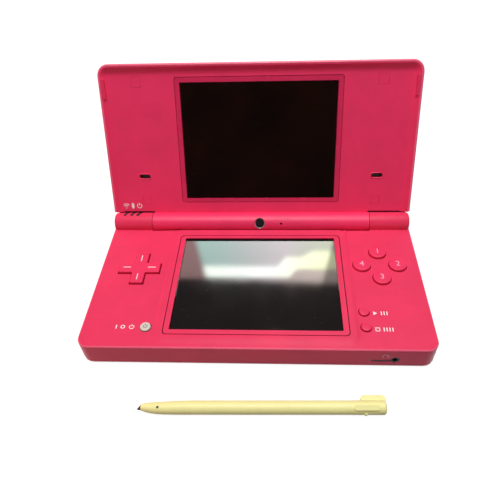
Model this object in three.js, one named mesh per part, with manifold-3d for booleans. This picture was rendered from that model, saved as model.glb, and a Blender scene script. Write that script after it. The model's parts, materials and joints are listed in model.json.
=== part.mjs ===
// Clamshell handheld game console, open on a table with its stylus in front of it.
// Millimetres, +X to the right, +Y to the hinge, +Z up. The origin is the middle of the underside.
// The lid is built in its own frame: +Y runs from the hinge axis to the free edge, +Z is the screen side.
import * as THREE from "three";
import { mergeVertices } from "three/addons/utils/BufferGeometryUtils.js";
import Module from "manifold-3d";

const wasm = await Module();
wasm.setup();

// Shared clearances and mesh fineness
const gap = 0.3;
const slimGap = 0.15;
const cutOver = 1;
const weldDistance = 0.0001;
const cornerSteps = 5;
const filletSteps = 4;
const roundSides = 28;
const smallSides = 16;
const slimSides = 12;
const quarterTurn = 90;

// Lower case
const body = { width: 137, depth: 74.9, faceZ: 11.7, wall: 1.4, faceWall: 1.3, corner: 4.8,
  edgeFillet: 0.8 };
const plateau = { sideInset: 29.9, frontInset: 4.45, rise: 0.35, corner: 3, fillet: 0.3 };
const cover = { height: 2.35, floor: 1.2, fillet: 2.1, seam: slimGap };

// Hinge
const hinge = { rearInset: 4.65, rise: 0.8, radius: 4.6, endGap: 0.25, openAngle: 113.5 };
const knuckle = { sideInset: 0.2, length: 18.05, wall: 1.4, endWall: 1.6, endFillet: 1.3 };
const barrelBore = { wall: 1.6, endRadius: 2 };
const trough = { clearance: 0.45, wall: 1.25, rearSillDrop: 4.2 };
const shaft = { gripLength: 6 };
const clutch = { endRoom: 2.3 };
const sleeve = { bore: 1.2, anchorLength: 5 };
const flex = { intoBarrel: 22, intoKnuckle: 8 };

// Lower screen stack, each piece set in from the one round it
const bezel = { sideInset: 2.6, frontInset: 1.65, rearInset: 13.45, corner: 1.5, thickness: 0.65 };
const touch = { sideInset: 2.17, frontInset: 2.05, rearInset: 1.5, rim: 1.1, thickness: 0.8,
  underBezel: gap };
const lowerLcd = { sideInset: 0.8, frontInset: 0.5, rearInset: 0.4, thickness: 2.5 };

// Board and what is under it
const board = { sideInset: 7.5, frontInset: 3.45, rearInset: 8.85, underLcd: 0.5, thickness: 0.8,
  corner: 3 };
const cardSlot = { halfWidth: 17.1, depth: 34, bottomZ: 1.8, underBoard: 0.2, wall: 0.5,
  contactDepth: 3, floorWall: 0.35 };
const battery = { sideInset: 10.5, besideCard: 9.4, frontInset: 18.45, rearInset: 26.45, corner: 2 };
const batteryLid = { margin: 3.2, thickness: 1, corner: 2.5, gap: 0.2, screwInset: 3.6 };
const charger = { besideCard: 5.4, width: 11, depth: 9, bottomZ: 1.6, height: 4.2, mouthWidth: 9,
  mouthHeight: 2.4 };
const sd = { width: 24.6, rearInset: 21.65, besideCharger: 1.8, underBoard: 0.1, slotHeight: 2.6,
  wall: 0.4 };
const sdDoor = { thickness: 1.1, height: 3.4, lipUnder: 0.15, overhang: 0.7, pivotInset: 0.6,
  pinRadius: 0.35, pinLength: 0.2 };
const stylusSlot = { clearance: 0.15, centreZ: 4.2, besideBattery: 3.6, wall: 0.3, roomShare: 0.4037 };
const radio = { sideInset: 18.5, besideCard: 6.4, behindBattery: 5, rearInset: 1.1, bottomZ: 2.6,
  corner: 1 };
const jack = { sideInset: 15.9, z: 5.4, holeRadius: 1.75, blockHalf: 3.7, blockDrop: 2.9,
  blockRise: 2.8, depth: 12 };
const jackSlot = { reachLeft: 8.7, reachRight: 1.5, height: 1.2, margin: 0.7 };
const screw = { headRadius: 1.6, headHeight: 0.8, shankRadius: 0.8, length: 5, sink: 0.1,
  crossWidth: 0.45 };
const boss = { radius: 1.9, aboveFloor: 0.3 };
const screwPlace = { sideInset: 4.5, frontInset: 5.95, rearInset: 15.95, roomShare: 0.7963 };

// Controls
const key = { flangeThickness: 0.7, flangeLip: 0.55, flangeDrop: 0.5, holeGap: 0.25, edge: 0.35 };
const keySheet = { thickness: 0.4, domeRadius: 1.5, domeHeight: 0.6, margin: 1.4, corner: 2 };
const dpad = { sideInset: 17.15, y: 3.35, span: 17.6, arm: 5.5, rise: 0.95, holeGap: 0.4,
  flange: 10.3, flangeDrop: 0.8, flangeThickness: 0.6, domeReach: 6.4 };
const dpadPost = { radius: 1.3, holeRadius: 1.8, aboveBoard: 0.3, underKey: 0.3 };
const faceKey = { radius: 3.7, rise: 1.05, sideInset: 16.65, y: 5.85, reach: 7.6, backReach: 7.55,
  frontReach: 7.45, leftDrop: 0.1 };
const smallKey = { radius: 2, rise: 0.75 };
const startKey = { sideInset: 26.15, beforeSlot: 3.7 };
const selectKey = { sideInset: 26.1, beforeStart: 7.45 };
const powerKey = { radius: 2.1, rise: 0.75, sideInset: 25.6, frontInset: 9.45 };
const volume = { length: 6.2, height: 2.2, drop: 4.5, upY: 6, downY: -2.4, proud: 0.4, flange: 0.5,
  lip: 0.6 };
const shoulder = { length: 16.3, depth: 5.25, aboveSeam: 0.35, drop: 3.8, wall: 1.3,
  pivotInset: 1.5 };
const shoulderRoom = { inboardGap: 0.6, frontGap: 1.8, blockWall: 1.3, pinRadius: 0.8,
  pinLength: 0.5, pinGap: 0.2 };

// Lid, with N as the height above the hinge axis
const lid = { hingeInset: 0.3, frontInset: 0.55, rimN: 0.55, outerN: -6.4, seamN: -3.3, corner: 4.8,
  hingeCorner: 1.2 };
const lidEdge = { outerFillet: 2.2, rimFillet: 0.4, wall: 1.4, outerWall: 1.3 };
const lidFace = { n: -0.85, plate: 1.6, sideInset: 4.2, endInset: 4, rimSideInset: 1.2,
  rimEndInset: 1.3, corner: 3.6 };
const web = { start: 2.4, into: 2, endInset: 0.4 };
const upperScreen = { start: 11.5, endInset: 7.7, recess: 0.15, thickness: 0.75 };
const upperFrame = { hingeMargin: 1.9, endMargin: 2.15, corner: 1, thickness: 0.85 };
const upperLcd = { sideMargin: 0.4, hingeMargin: 0.3, endMargin: 0.45 };
const speaker = { sideInset: 15.9, centreU: 21.7, radius: 6.4, slotLength: 5.2, slotHeight: 2 };
const lidPlug = { sideInset: 15.9, size: 4.2, smallSize: 3.7, endInset: 7.3, nearU: 10.5, depth: 0.7,
  gap: 0.12, corner: 0.6 };
const bumper = { sideInset: 0.7, width: 1.9, endInset: 5.7, length: 8.6, depth: 2.15, proud: 0.1,
  gap: 0.12, corner: 0.5 };
const eye = { tiltAngle: 10.2, ringOuter: 2.35, ringInner: 2, ringHeight: 1.4, proud: 0.05,
  lensRadius: 1.8, moduleLength: 6.3, lensDrop: 0.3, holeGap: 0.15 };
const mic = { x: 9.86, tiltAngle: 7.9, holeRadius: 0.6, radius: 1.3, length: 3.2, inset: 0.4 };
const rearEye = { sideInset: 12.5, endInset: 9.2, radius: 2.6, gap: 0.25, proud: 0.1, length: 2.8,
  ringWall: 0.5, dish: 0.25 };

// Status lights in the left knuckle
const light = { width: 1.25, slantAngle: 25, middleAngle: 111, length: 4.4, gap: 0.12, inward: 0.3,
  outward: 0.6, outerInset: 5.7, middleInset: 8.8, innerInset: 11.8 };

// Stylus, lying in front of the console
const pen = { centreX: 2.5, frontGap: 18.85, turnAngle: 1.1, radius: 2.5, restGap: 0.03,
  shortBy: 2.2 };
const penEnds = { tipLength: 1.6, taperLength: 12.3, endFillet: 1.2 };
const penTip = { radius: 0.35, baseRadius: 1.05, seatRadius: 1.35, gap: 0.1 };
const penFlag = { length: 8.7, reach: 4.7, thickness: 1.9, corner: 1.5 };
const penRib = { startInset: 11.5, endInset: 2.4, width: 0.9, height: 0.45 };
const penNub = { endInset: 7.4, radius: 0.9, proud: 0.5 };

// Finishes
const finish = (name, color, roughness, metalness = 0) =>
  new THREE.MeshStandardMaterial({ name, color, roughness, metalness });
const pinkShell = finish("pink shell", 0xe8385f, 0.45);
const pinkKey = finish("pink key", 0xea3c64, 0.4);
const pinkBorder = finish("pink border", 0xc62c5c, 0.25);
const pinkRubber = finish("pink rubber", 0xd9345c, 0.7);
const darkGlass = finish("dark glass", 0x0c0a0b, 0.1);
const darkPlastic = finish("dark plastic", 0x1d1a1c, 0.5);
const greyRubber = finish("grey rubber", 0x6f7175, 0.8);
const greenBoard = finish("green board", 0x1f6b3c, 0.6);
const steel = finish("steel", 0xb8bbc0, 0.35, 1);
const whiteKey = finish("white key", 0xdedccb, 0.4);
const smokeLens = finish("smoke lens", 0x5a3b3e, 0.3);
const brightRing = finish("bright ring", 0xe4b9bd, 0.25, 1);
const batteryGrey = finish("battery grey", 0x8d8f93, 0.5);
const cableAmber = finish("cable amber", 0xb7732c, 0.5);
const creamPlastic = finish("cream plastic", 0xf1e9a8, 0.45);

// Turning geometries into solids and back
const radians = THREE.MathUtils.degToRad;

function solid(geometry) {
  const bare = geometry.clone();
  bare.deleteAttribute("normal");
  bare.deleteAttribute("uv");
  const merged = mergeVertices(bare, weldDistance);
  const triVerts = new Uint32Array(merged.index.array);
  const vertProperties = new Float32Array(merged.attributes.position.array);
  return new wasm.Manifold(new wasm.Mesh({ numProp: 3, vertProperties, triVerts }));
}

function node(name, shape, material) {
  const raw = shape.getMesh();
  const geometry = new THREE.BufferGeometry();
  geometry.setAttribute("position", new THREE.BufferAttribute(new Float32Array(raw.vertProperties),
      raw.numProp));
  geometry.setIndex(new THREE.BufferAttribute(new Uint32Array(raw.triVerts), 1));
  const mesh = new THREE.Mesh(geometry, material);
  mesh.name = name;
  return mesh;
}

const joined = (...shapes) => shapes.reduce((whole, shape) => whole.add(shape));
const cut = (shape, ...tools) => tools.reduce((rest, tool) => rest.subtract(tool), shape);

// Rounded rectangles, in plan
const region = (left, right, front, back) => ({ left, right, front, back });
const grown = (area, by) => region(area.left - by, area.right + by, area.front - by, area.back + by);
const around = (x, y, width, depth) => region(x - width / 2, x + width / 2, y - depth / 2, y + depth / 2);

function outline(area, frontCorner, backCorner = frontCorner) {
  const corners = [
    { x: area.right - frontCorner, y: area.front + frontCorner, radius: frontCorner, from: -quarterTurn },
    { x: area.right - backCorner, y: area.back - backCorner, radius: backCorner, from: 0 },
    { x: area.left + backCorner, y: area.back - backCorner, radius: backCorner, from: quarterTurn },
    { x: area.left + frontCorner, y: area.front + frontCorner, radius: frontCorner, from: 2 * quarterTurn },
  ];
  const points = [];
  for (const { x, y, radius, from } of corners) {
    for (let step = 0; step <= cornerSteps; step += 1) {
      const angle = radians(from + (quarterTurn * step) / cornerSteps);
      points.push(new THREE.Vector2(x + radius * Math.cos(angle), y + radius * Math.sin(angle)));
    }
  }
  return points;
}

// A closed solid through rings of points that have the same count, each at its own height
function loft(rings) {
  const count = rings[0].points.length;
  const positions = rings.flatMap(({ points, z }) => points.flatMap((point) => [point.x, point.y, z]));
  const faces = [];
  for (let level = 0; level + 1 < rings.length; level += 1) {
    for (let at = 0; at < count; at += 1) {
      const low = level * count + at;
      const next = level * count + ((at + 1) % count);
      faces.push(low, next, next + count, low, next + count, low + count);
    }
  }
  const last = (rings.length - 1) * count;
  for (let at = 1; at + 1 < count; at += 1) {
    faces.push(0, at + 1, at, last, last + at, last + at + 1);
  }
  const geometry = new THREE.BufferGeometry();
  geometry.setAttribute("position", new THREE.Float32BufferAttribute(positions, 3));
  geometry.setIndex(faces);
  return solid(geometry);
}

// A slab with a rounded-rectangle plan, whose bottom and top edges can be filleted
function slab(area, corners, bottomZ, topZ, { bottomFillet = 0, topFillet = 0 } = {}) {
  const [frontCorner, backCorner] = Array.isArray(corners) ? corners : [corners, corners];
  const least = weldDistance * roundSides;
  const ringAt = (inset, z) => {
    const points = outline(grown(area, -inset), Math.max(frontCorner - inset, least),
        Math.max(backCorner - inset, least));
    return { points, z };
  };
  const rings = [];
  if (bottomFillet > 0) {
    for (let step = 0; step < filletSteps; step += 1) {
      const angle = radians((quarterTurn * step) / filletSteps);
      rings.push(ringAt(bottomFillet * (1 - Math.sin(angle)),
          bottomZ + bottomFillet * (1 - Math.cos(angle))));
    }
  }
  rings.push(ringAt(0, bottomZ + bottomFillet));
  rings.push(ringAt(0, topZ - topFillet));
  if (topFillet > 0) {
    for (let step = 1; step <= filletSteps; step += 1) {
      const angle = radians((quarterTurn * step) / filletSteps);
      rings.push(ringAt(topFillet * (1 - Math.cos(angle)), topZ - topFillet * (1 - Math.sin(angle))));
    }
  }
  return loft(rings);
}

function box(left, right, front, back, bottomZ, topZ) {
  const geometry = new THREE.BoxGeometry(right - left, back - front, topZ - bottomZ);
  geometry.translate((left + right) / 2, (front + back) / 2, (bottomZ + topZ) / 2);
  return solid(geometry);
}

// Round pieces: upright, along X, and pointing out of the hinge barrel
function rod(radius, x, y, bottomZ, topZ, sides = roundSides) {
  const geometry = new THREE.CylinderGeometry(radius, radius, topZ - bottomZ, sides);
  geometry.rotateX(radians(quarterTurn));
  geometry.translate(x, y, (bottomZ + topZ) / 2);
  return solid(geometry);
}

function rodAlongX(radius, left, right, y, z, sides = roundSides) {
  const geometry = new THREE.CylinderGeometry(radius, radius, right - left, sides);
  geometry.rotateZ(radians(-quarterTurn));
  geometry.translate((left + right) / 2, y, z);
  return solid(geometry);
}

function rodAlongY(radius, x, front, back, z, sides = roundSides) {
  const geometry = new THREE.CylinderGeometry(radius, radius, back - front, sides);
  geometry.translate(x, (front + back) / 2, z);
  return solid(geometry);
}

function turnedAlongX(profile, y, z, sides = roundSides) {
  const points = profile.map(([x, radius]) => new THREE.Vector2(radius, x));
  const geometry = new THREE.LatheGeometry(points, sides);
  geometry.rotateZ(radians(-quarterTurn));
  geometry.translate(0, y, z);
  return solid(geometry);
}

function rodFromAxis(radius, x, bottom, top, tiltAngle, sides = smallSides) {
  const geometry = new THREE.CylinderGeometry(radius, radius, top - bottom, sides);
  geometry.rotateX(radians(quarterTurn));
  geometry.translate(x, 0, (bottom + top) / 2);
  geometry.rotateX(radians(-tiltAngle));
  return solid(geometry);
}

function roundKey(place, size, faceZ) {
  const flangeTop = faceZ - body.faceWall - key.flangeDrop;
  const flange = rod(size.radius + key.flangeLip, place.x, place.y, flangeTop - key.flangeThickness,
      flangeTop, slimSides);
  const capTop = faceZ + size.rise;
  const profile = [
    [flangeTop - key.flangeThickness, size.radius],
    [capTop - key.edge, size.radius],
    [capTop - key.edge / 3, size.radius - key.edge / 3],
    [capTop, size.radius - key.edge],
  ];
  const points = profile.map(([z, radius]) => new THREE.Vector2(radius, z));
  points.unshift(new THREE.Vector2(0, profile[0][0]));
  points.push(new THREE.Vector2(0, capTop));
  const cap = new THREE.LatheGeometry(points, roundSides);
  cap.rotateX(radians(quarterTurn));
  cap.translate(place.x, place.y, 0);
  return joined(solid(cap), flange);
}

// Places that several pieces share
const halfWidth = body.width / 2;
const halfDepth = body.depth / 2;
const casePlan = region(-halfWidth, halfWidth, -halfDepth, halfDepth);
const shellBottom = cover.height + cover.seam;
const ceiling = body.faceZ - body.faceWall;
const plateauTop = body.faceZ + plateau.rise;
const hingeY = halfDepth - hinge.rearInset;
const hingeZ = body.faceZ + hinge.rise;
const knuckleReach = halfWidth - knuckle.sideInset;
const knuckleStart = knuckleReach - knuckle.length;
const knuckleBore = hinge.radius - knuckle.wall;
const barrelHalf = knuckleStart - hinge.endGap;
const shaftRadius = barrelBore.endRadius - gap;
const clutchRadius = knuckleBore - gap;
const troughRadius = hinge.radius + trough.clearance;

const plateauArea = region(-halfWidth + plateau.sideInset, halfWidth - plateau.sideInset,
  -halfDepth + plateau.frontInset, hingeY - hinge.radius);
const bezelArea = region(plateauArea.left + bezel.sideInset, plateauArea.right - bezel.sideInset,
  plateauArea.front + bezel.frontInset, halfDepth - bezel.rearInset);
const windowArea = region(bezelArea.left + touch.sideInset, bezelArea.right - touch.sideInset,
  bezelArea.front + touch.frontInset, bezelArea.back - touch.rearInset);
const lowerLcdArea = region(bezelArea.left + lowerLcd.sideInset, bezelArea.right - lowerLcd.sideInset,
  bezelArea.front + lowerLcd.frontInset, bezelArea.back - lowerLcd.rearInset);
const bezelBottom = plateauTop - bezel.thickness;
const touchTop = bezelBottom - touch.underBezel;
const lowerLcdTop = touchTop - touch.thickness - gap;
const lowerLcdBottom = lowerLcdTop - lowerLcd.thickness;
const boardTop = lowerLcdBottom - board.underLcd;
const boardBottom = boardTop - board.thickness;
const boardArea = region(-halfWidth + board.sideInset, halfWidth - board.sideInset,
  -halfDepth + board.frontInset, halfDepth - board.rearInset);

const cardSide = cardSlot.halfWidth + cardSlot.wall;
const cardTop = boardBottom - cardSlot.underBoard;
const batteryArea = region(-halfWidth + battery.sideInset, -cardSide - battery.besideCard,
  -halfDepth + battery.frontInset, halfDepth - battery.rearInset);
const batteryBottom = cover.floor + gap;
const batteryLidArea = grown(batteryArea, batteryLid.margin);
const chargerX = cardSide + charger.besideCard + charger.width / 2;
const sdCentreY = halfDepth - sd.rearInset;
const sdBottom = boardBottom - sd.underBoard - sd.wall - sd.slotHeight;
const sdArea = region(chargerX + charger.width / 2 + sd.besideCharger, halfWidth - body.wall - gap,
  sdCentreY - sd.width / 2 - sd.wall, sdCentreY + sd.width / 2 + sd.wall);
const sdDoorArea = around(0, sdCentreY, 0, sd.width + 2 * sdDoor.overhang);
const sdDoorBottom = sdBottom - sdDoor.lipUnder;
const sdDoorTop = sdDoorBottom + sdDoor.height;
const sdPivot = { x: halfWidth - sdDoor.thickness / 2, y: sdDoorArea.back - sdDoor.pivotInset };
const jackX = halfWidth - jack.sideInset;
const jackFront = -halfDepth + body.wall + slimGap;
const jackSlotLeft = jackX - jackSlot.reachLeft;
const jackSlotRight = jackX + jackSlot.reachRight;
const jackSlotBottom = jack.z - jackSlot.height;

// The stylus slot and a screw share the room between the headphone jack and the memory card socket
const rightRoomFront = jackFront + jack.depth;
const rightRoom = sdArea.front - rightRoomFront;
const stylusSlotY = rightRoomFront + rightRoom * stylusSlot.roomShare;
const stylusSlotHalf = pen.radius + stylusSlot.clearance;
const holderHalf = stylusSlotHalf + stylusSlot.wall;
const holderStart = batteryArea.right + stylusSlot.besideBattery;
const holderEnd = halfWidth - body.wall - slimGap;
const penHalf = (halfWidth - holderStart - stylusSlot.wall - pen.shortBy) / 2;

const bossBottom = cover.floor + boss.aboveFloor;
const screwX = halfWidth - screwPlace.sideInset;
const screwFrontY = -halfDepth + screwPlace.frontInset;
const screwPlaces = [
  { x: screwX, y: screwFrontY },
  { x: -screwX, y: screwFrontY },
  { x: screwX, y: rightRoomFront + rightRoom * screwPlace.roomShare },
  { x: -screwX, y: halfDepth - screwPlace.rearInset },
];

const dpadX = -halfWidth + dpad.sideInset;
const dpadFlangeTop = ceiling - dpad.flangeDrop;
const dpadFlangeBottom = dpadFlangeTop - dpad.flangeThickness;
const dpadPostTop = dpadFlangeBottom - dpadPost.underKey;
const faceKeyX = halfWidth - faceKey.sideInset;
const faceKeyPlaces = [
  { name: "face_button_1", x: faceKeyX, y: faceKey.y + faceKey.backReach },
  { name: "face_button_2", x: faceKeyX + faceKey.reach, y: faceKey.y },
  { name: "face_button_3", x: faceKeyX, y: faceKey.y - faceKey.frontReach },
  { name: "face_button_4", x: faceKeyX - faceKey.reach, y: faceKey.y - faceKey.leftDrop },
];
const startKeyPlace = { name: "start_button", x: halfWidth - startKey.sideInset,
  y: stylusSlotY - holderHalf - startKey.beforeSlot };
const selectKeyPlace = { name: "select_button", x: halfWidth - selectKey.sideInset,
  y: startKeyPlace.y - selectKey.beforeStart };
const powerKeyPlace = { name: "power_button", x: -halfWidth + powerKey.sideInset,
  y: -halfDepth + powerKey.frontInset };
const volumeZ = body.faceZ - volume.drop;
const shoulderInboard = halfWidth - shoulder.length;
const shoulderFront = halfDepth - shoulder.depth;
const shoulderBottom = shellBottom + shoulder.aboveSeam;
const shoulderTop = body.faceZ - shoulder.drop;
const lightPlaces = [light.outerInset, light.middleInset, light.innerInset].map((inset) =>
  inset - knuckleReach);

// Both hinge knuckles are one with the lower face shell
function knuckleForm(side, radius, start, reach, fillet) {
  const profile = [
    [start, 0],
    [start, radius],
    [reach - fillet, radius],
    [reach - fillet / 4, radius - fillet / 3],
    [reach, radius - fillet],
    [reach, 0],
  ];
  const placed = side > 0 ? profile : profile.map(([x, r]) => [-x, r]).reverse();
  return turnedAlongX(placed, hingeY, hingeZ);
}

function crossOutline(span, arm) {
  const far = span / 2;
  const near = arm / 2;
  const quarter = [[far, -near], [far, near], [near, near]];
  const shape = [];
  for (let turn = 0; turn < 4; turn += 1) {
    const angle = radians(quarterTurn * turn);
    for (const [x, y] of quarter) {
      const turnedX = x * Math.cos(angle) - y * Math.sin(angle);
      const turnedY = x * Math.sin(angle) + y * Math.cos(angle);
      shape.push(new THREE.Vector2(dpadX + turnedX, dpad.y + turnedY));
    }
  }
  return new THREE.Shape(shape);
}

function crossSolid(grow, bottomZ, topZ) {
  const shape = crossOutline(dpad.span + 2 * grow, dpad.arm + 2 * grow);
  const geometry = new THREE.ExtrudeGeometry(shape, { depth: topZ - bottomZ, bevelEnabled: false });
  geometry.translate(0, 0, bottomZ);
  return solid(geometry);
}

function lightBox(x, grow) {
  const inner = knuckleBore - light.inward;
  const outer = hinge.radius + light.outward;
  const geometry = new THREE.BoxGeometry(light.width + 2 * grow, light.length + 2 * grow,
      outer - inner);
  geometry.rotateZ(radians(-light.slantAngle));
  geometry.translate(0, 0, (outer + inner) / 2);
  geometry.rotateX(radians(quarterTurn - light.middleAngle));
  geometry.translate(x, hingeY, hingeZ);
  return solid(geometry);
}

function shoulderRoomBox(side) {
  const inner = shoulderInboard - shoulderRoom.inboardGap;
  const outer = halfWidth + cutOver;
  const [left, right] = side > 0 ? [inner, outer] : [-outer, -inner];
  const front = shoulderFront - shoulderRoom.frontGap;
  return box(left, right, front, halfDepth + cutOver, shellBottom - cutOver, shoulderTop + gap);
}

function shoulderPivot(side) {
  return { x: side * (shoulderInboard + shoulder.pivotInset), y: shoulderFront + shoulder.pivotInset };
}

function shoulderPinHole(side) {
  const { x, y } = shoulderPivot(side);
  const top = shoulderTop + gap + shoulderRoom.pinLength;
  return rod(shoulderRoom.pinRadius + shoulderRoom.pinGap, x, y, shoulderTop, top, slimSides);
}

// Openings in the sides of the lower case
function stylusMouth() {
  return box(holderEnd - cutOver, halfWidth + cutOver, stylusSlotY - stylusSlotHalf,
      stylusSlotY + stylusSlotHalf, stylusSlot.centreZ - stylusSlotHalf,
      stylusSlot.centreZ + stylusSlotHalf);
}

function sdMouth() {
  const area = sdDoorArea;
  const opening = box(halfWidth - body.wall - cutOver, halfWidth + cutOver,
    area.front + sdDoor.overhang, area.back - sdDoor.overhang, sdBottom, sdBottom + sd.slotHeight);
  const seat = box(halfWidth - sdDoor.thickness - slimGap, halfWidth + cutOver,
    area.front - slimGap, area.back + slimGap, sdDoorBottom - slimGap, sdDoorTop + slimGap);
  const swing = Math.hypot(sdDoor.thickness / 2, sdDoor.pivotInset) + slimGap;
  const relief = rod(swing, sdPivot.x, sdPivot.y, sdDoorBottom - slimGap, sdDoorTop + slimGap);
  const pinHole = rod(sdDoor.pinRadius + slimGap, sdPivot.x, sdPivot.y,
      sdDoorBottom - sdDoor.pinLength - slimGap, sdDoorTop + sdDoor.pinLength + slimGap, slimSides);
  return joined(opening, seat, relief, pinHole);
}

function cardMouth() {
  return box(-cardSlot.halfWidth, cardSlot.halfWidth, halfDepth - body.wall - cutOver,
      halfDepth + cutOver, cardSlot.bottomZ, cardTop);
}

function chargerMouth() {
  const middle = charger.bottomZ + charger.height / 2;
  return box(chargerX - charger.mouthWidth / 2, chargerX + charger.mouthWidth / 2,
    halfDepth - body.wall - cutOver, halfDepth + cutOver,
    Math.max(middle - charger.mouthHeight / 2, shellBottom), middle + charger.mouthHeight / 2);
}

function jackMouth() {
  const inside = -halfDepth + body.wall + cutOver;
  const hole = rodAlongY(jack.holeRadius, jackX, -halfDepth - cutOver, inside, jack.z);
  const slot = box(jackSlotLeft, jackSlotRight, -halfDepth - cutOver, inside, jackSlotBottom, jack.z);
  return joined(hole, slot);
}

function volumeHole(y, grow) {
  return box(-halfWidth - cutOver, -halfWidth + body.wall + cutOver, y - volume.length / 2 - grow,
    y + volume.length / 2 + grow, volumeZ - volume.height / 2 - grow,
    volumeZ + volume.height / 2 + grow);
}

function lowerFaceShell() {
  const outer = slab(casePlan, body.corner, shellBottom, body.faceZ, { topFillet: body.edgeFillet });
  const hollow = slab(grown(casePlan, -body.wall), body.corner - body.wall, shellBottom - cutOver,
      ceiling);
  const raised = slab(plateauArea, plateau.corner, ceiling, plateauTop, { topFillet: plateau.fillet });
  const cradle = rodAlongX(troughRadius + trough.wall, -knuckleStart, knuckleStart, hingeY,
      hingeZ).intersect(outer);
  const blocks = [1, -1].map((side) => {
    const inner = shoulderInboard - shoulderRoom.inboardGap - shoulderRoom.blockWall;
    const [left, right] = side > 0 ? [inner, halfWidth] : [-halfWidth, -inner];
    const front = shoulderFront - shoulderRoom.frontGap - shoulderRoom.blockWall;
    return box(left, right, front, halfDepth, shellBottom, ceiling + gap).intersect(outer);
  });
  const bosses = screwPlaces.map(({ x, y }) => rod(boss.radius, x, y, bossBottom, ceiling + gap,
      slimSides));
  const knuckles = [1, -1].map((side) =>
    knuckleForm(side, hinge.radius, knuckleStart, knuckleReach, knuckle.endFillet));
  let shell = joined(cut(outer, hollow), raised, cradle, ...blocks, ...bosses, ...knuckles);

  const swing = rodAlongX(troughRadius, -knuckleStart, knuckleStart, hingeY, hingeZ);
  const rearWay = box(-knuckleStart, knuckleStart, hingeY, halfDepth + cutOver,
      hingeZ - trough.rearSillDrop, plateauTop + cutOver);
  const bores = [1, -1].map((side) =>
    knuckleForm(side, knuckleBore, knuckleStart - cutOver, knuckleReach - knuckle.endWall,
        weldDistance * roundSides));
  const screwBores = screwPlaces.map(({ x, y }) =>
    rod(screw.shankRadius + slimGap, x, y, bossBottom - cutOver, bossBottom + screw.length,
        slimSides));
  shell = cut(shell, swing, rearWay, ...bores, ...screwBores);
  shell = cut(shell, shoulderRoomBox(1), shoulderRoomBox(-1), shoulderPinHole(1), shoulderPinHole(-1));

  const low = ceiling - cutOver;
  const high = plateauTop + cutOver;
  const screenHole = slab(grown(bezelArea, slimGap), bezel.corner + slimGap, low, high);
  const faceHoles = faceKeyPlaces.map(({ x, y }) => rod(faceKey.radius + key.holeGap, x, y, low, high));
  const smallHoles = [startKeyPlace, selectKeyPlace].map(({ x, y }) =>
    rod(smallKey.radius + key.holeGap, x, y, low, high));
  const powerHole = rod(powerKey.radius + key.holeGap, powerKeyPlace.x, powerKeyPlace.y, low, high);
  const dpadHole = crossSolid(dpad.holeGap, low, high);
  shell = cut(shell, screenHole, ...faceHoles, ...smallHoles, powerHole, dpadHole);

  const lightSlots = lightPlaces.map((x) => lightBox(x, light.gap));
  const sideHoles = [volumeHole(volume.upY, slimGap), volumeHole(volume.downY, slimGap)];
  return cut(shell, ...lightSlots, ...sideHoles, stylusMouth(), sdMouth(), cardMouth(), chargerMouth(),
      jackMouth());
}

function bottomCover() {
  const outer = slab(casePlan, body.corner, 0, cover.height, { bottomFillet: cover.fillet });
  const hollow = slab(grown(casePlan, -body.wall), body.corner - body.wall, cover.floor,
      cover.height + cutOver);
  const batteryHole = slab(grown(batteryLidArea, batteryLid.gap), batteryLid.corner, -cutOver,
      cover.floor + cutOver);
  const heads = screwPlaces.map(({ x, y }) =>
    rod(screw.headRadius + slimGap, x, y, -cutOver, screw.sink + screw.headHeight + slimGap, smallSides));
  const shanks = screwPlaces.map(({ x, y }) =>
    rod(screw.shankRadius + slimGap, x, y, -cutOver, cover.floor + cutOver, slimSides));
  return cut(cut(outer, hollow), batteryHole, ...heads, ...shanks, stylusMouth(), cardMouth());
}

function batteryCover() {
  const plate = slab(batteryLidArea, batteryLid.corner, 0, batteryLid.thickness);
  const { x, y } = batteryScrewPlace();
  return cut(plate, rod(screw.headRadius + slimGap, x, y, -cutOver, screw.sink + screw.headHeight,
      smallSides),
    rod(screw.shankRadius + slimGap, x, y, -cutOver, batteryLid.thickness + cutOver, slimSides));
}

function batteryScrewPlace() {
  return { x: batteryLidArea.right - batteryLid.screwInset,
      y: batteryLidArea.front + batteryLid.screwInset };
}

function caseScrew({ x, y }, length) {
  const head = rod(screw.headRadius, x, y, screw.sink, screw.sink + screw.headHeight - slimGap,
      smallSides);
  const shank = rod(screw.shankRadius, x, y, screw.sink + screw.headHeight / 2, length, slimSides);
  const long = screw.headRadius - screw.crossWidth / 2;
  const wide = screw.crossWidth / 2;
  const deep = screw.sink + screw.crossWidth;
  const cross = joined(box(x - long, x + long, y - wide, y + wide, 0, deep),
      box(x - wide, x + wide, y - long, y + long, 0, deep));
  return cut(joined(head, shank), cross);
}

function mainBoard() {
  const plate = slab(boardArea, board.corner, boardBottom, boardTop);
  const holderRoom = box(holderStart - 2 * gap, boardArea.right + cutOver,
    stylusSlotY - holderHalf - gap, stylusSlotY + holderHalf + gap, boardBottom - cutOver,
    boardTop + cutOver);
  const jackRoom = box(jackX - jack.blockHalf - gap, jackX + jack.blockHalf + gap,
    boardArea.front - cutOver, -halfDepth + body.wall + jack.depth + 2 * gap, boardBottom - cutOver,
    boardTop + cutOver);
  const radioArea = region(-halfWidth + radio.sideInset, -cardSide - radio.besideCard,
    batteryArea.back + radio.behindBattery, boardArea.back - radio.rearInset);
  const radioCan = slab(radioArea, radio.corner, radio.bottomZ, boardTop);
  return cut(joined(plate, radioCan), holderRoom, jackRoom);
}

// Rubber sheets with a dome under each key
function keyMembrane(area, domes, holes = []) {
  const bottom = boardTop + slimGap / 3;
  const sheet = slab(area, keySheet.corner, bottom, bottom + keySheet.thickness);
  const raised = domes.map(({ x, y }) =>
    rod(keySheet.domeRadius, x, y, bottom, bottom + keySheet.thickness + keySheet.domeHeight, slimSides));
  return cut(joined(sheet, ...raised), ...holes);
}

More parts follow.
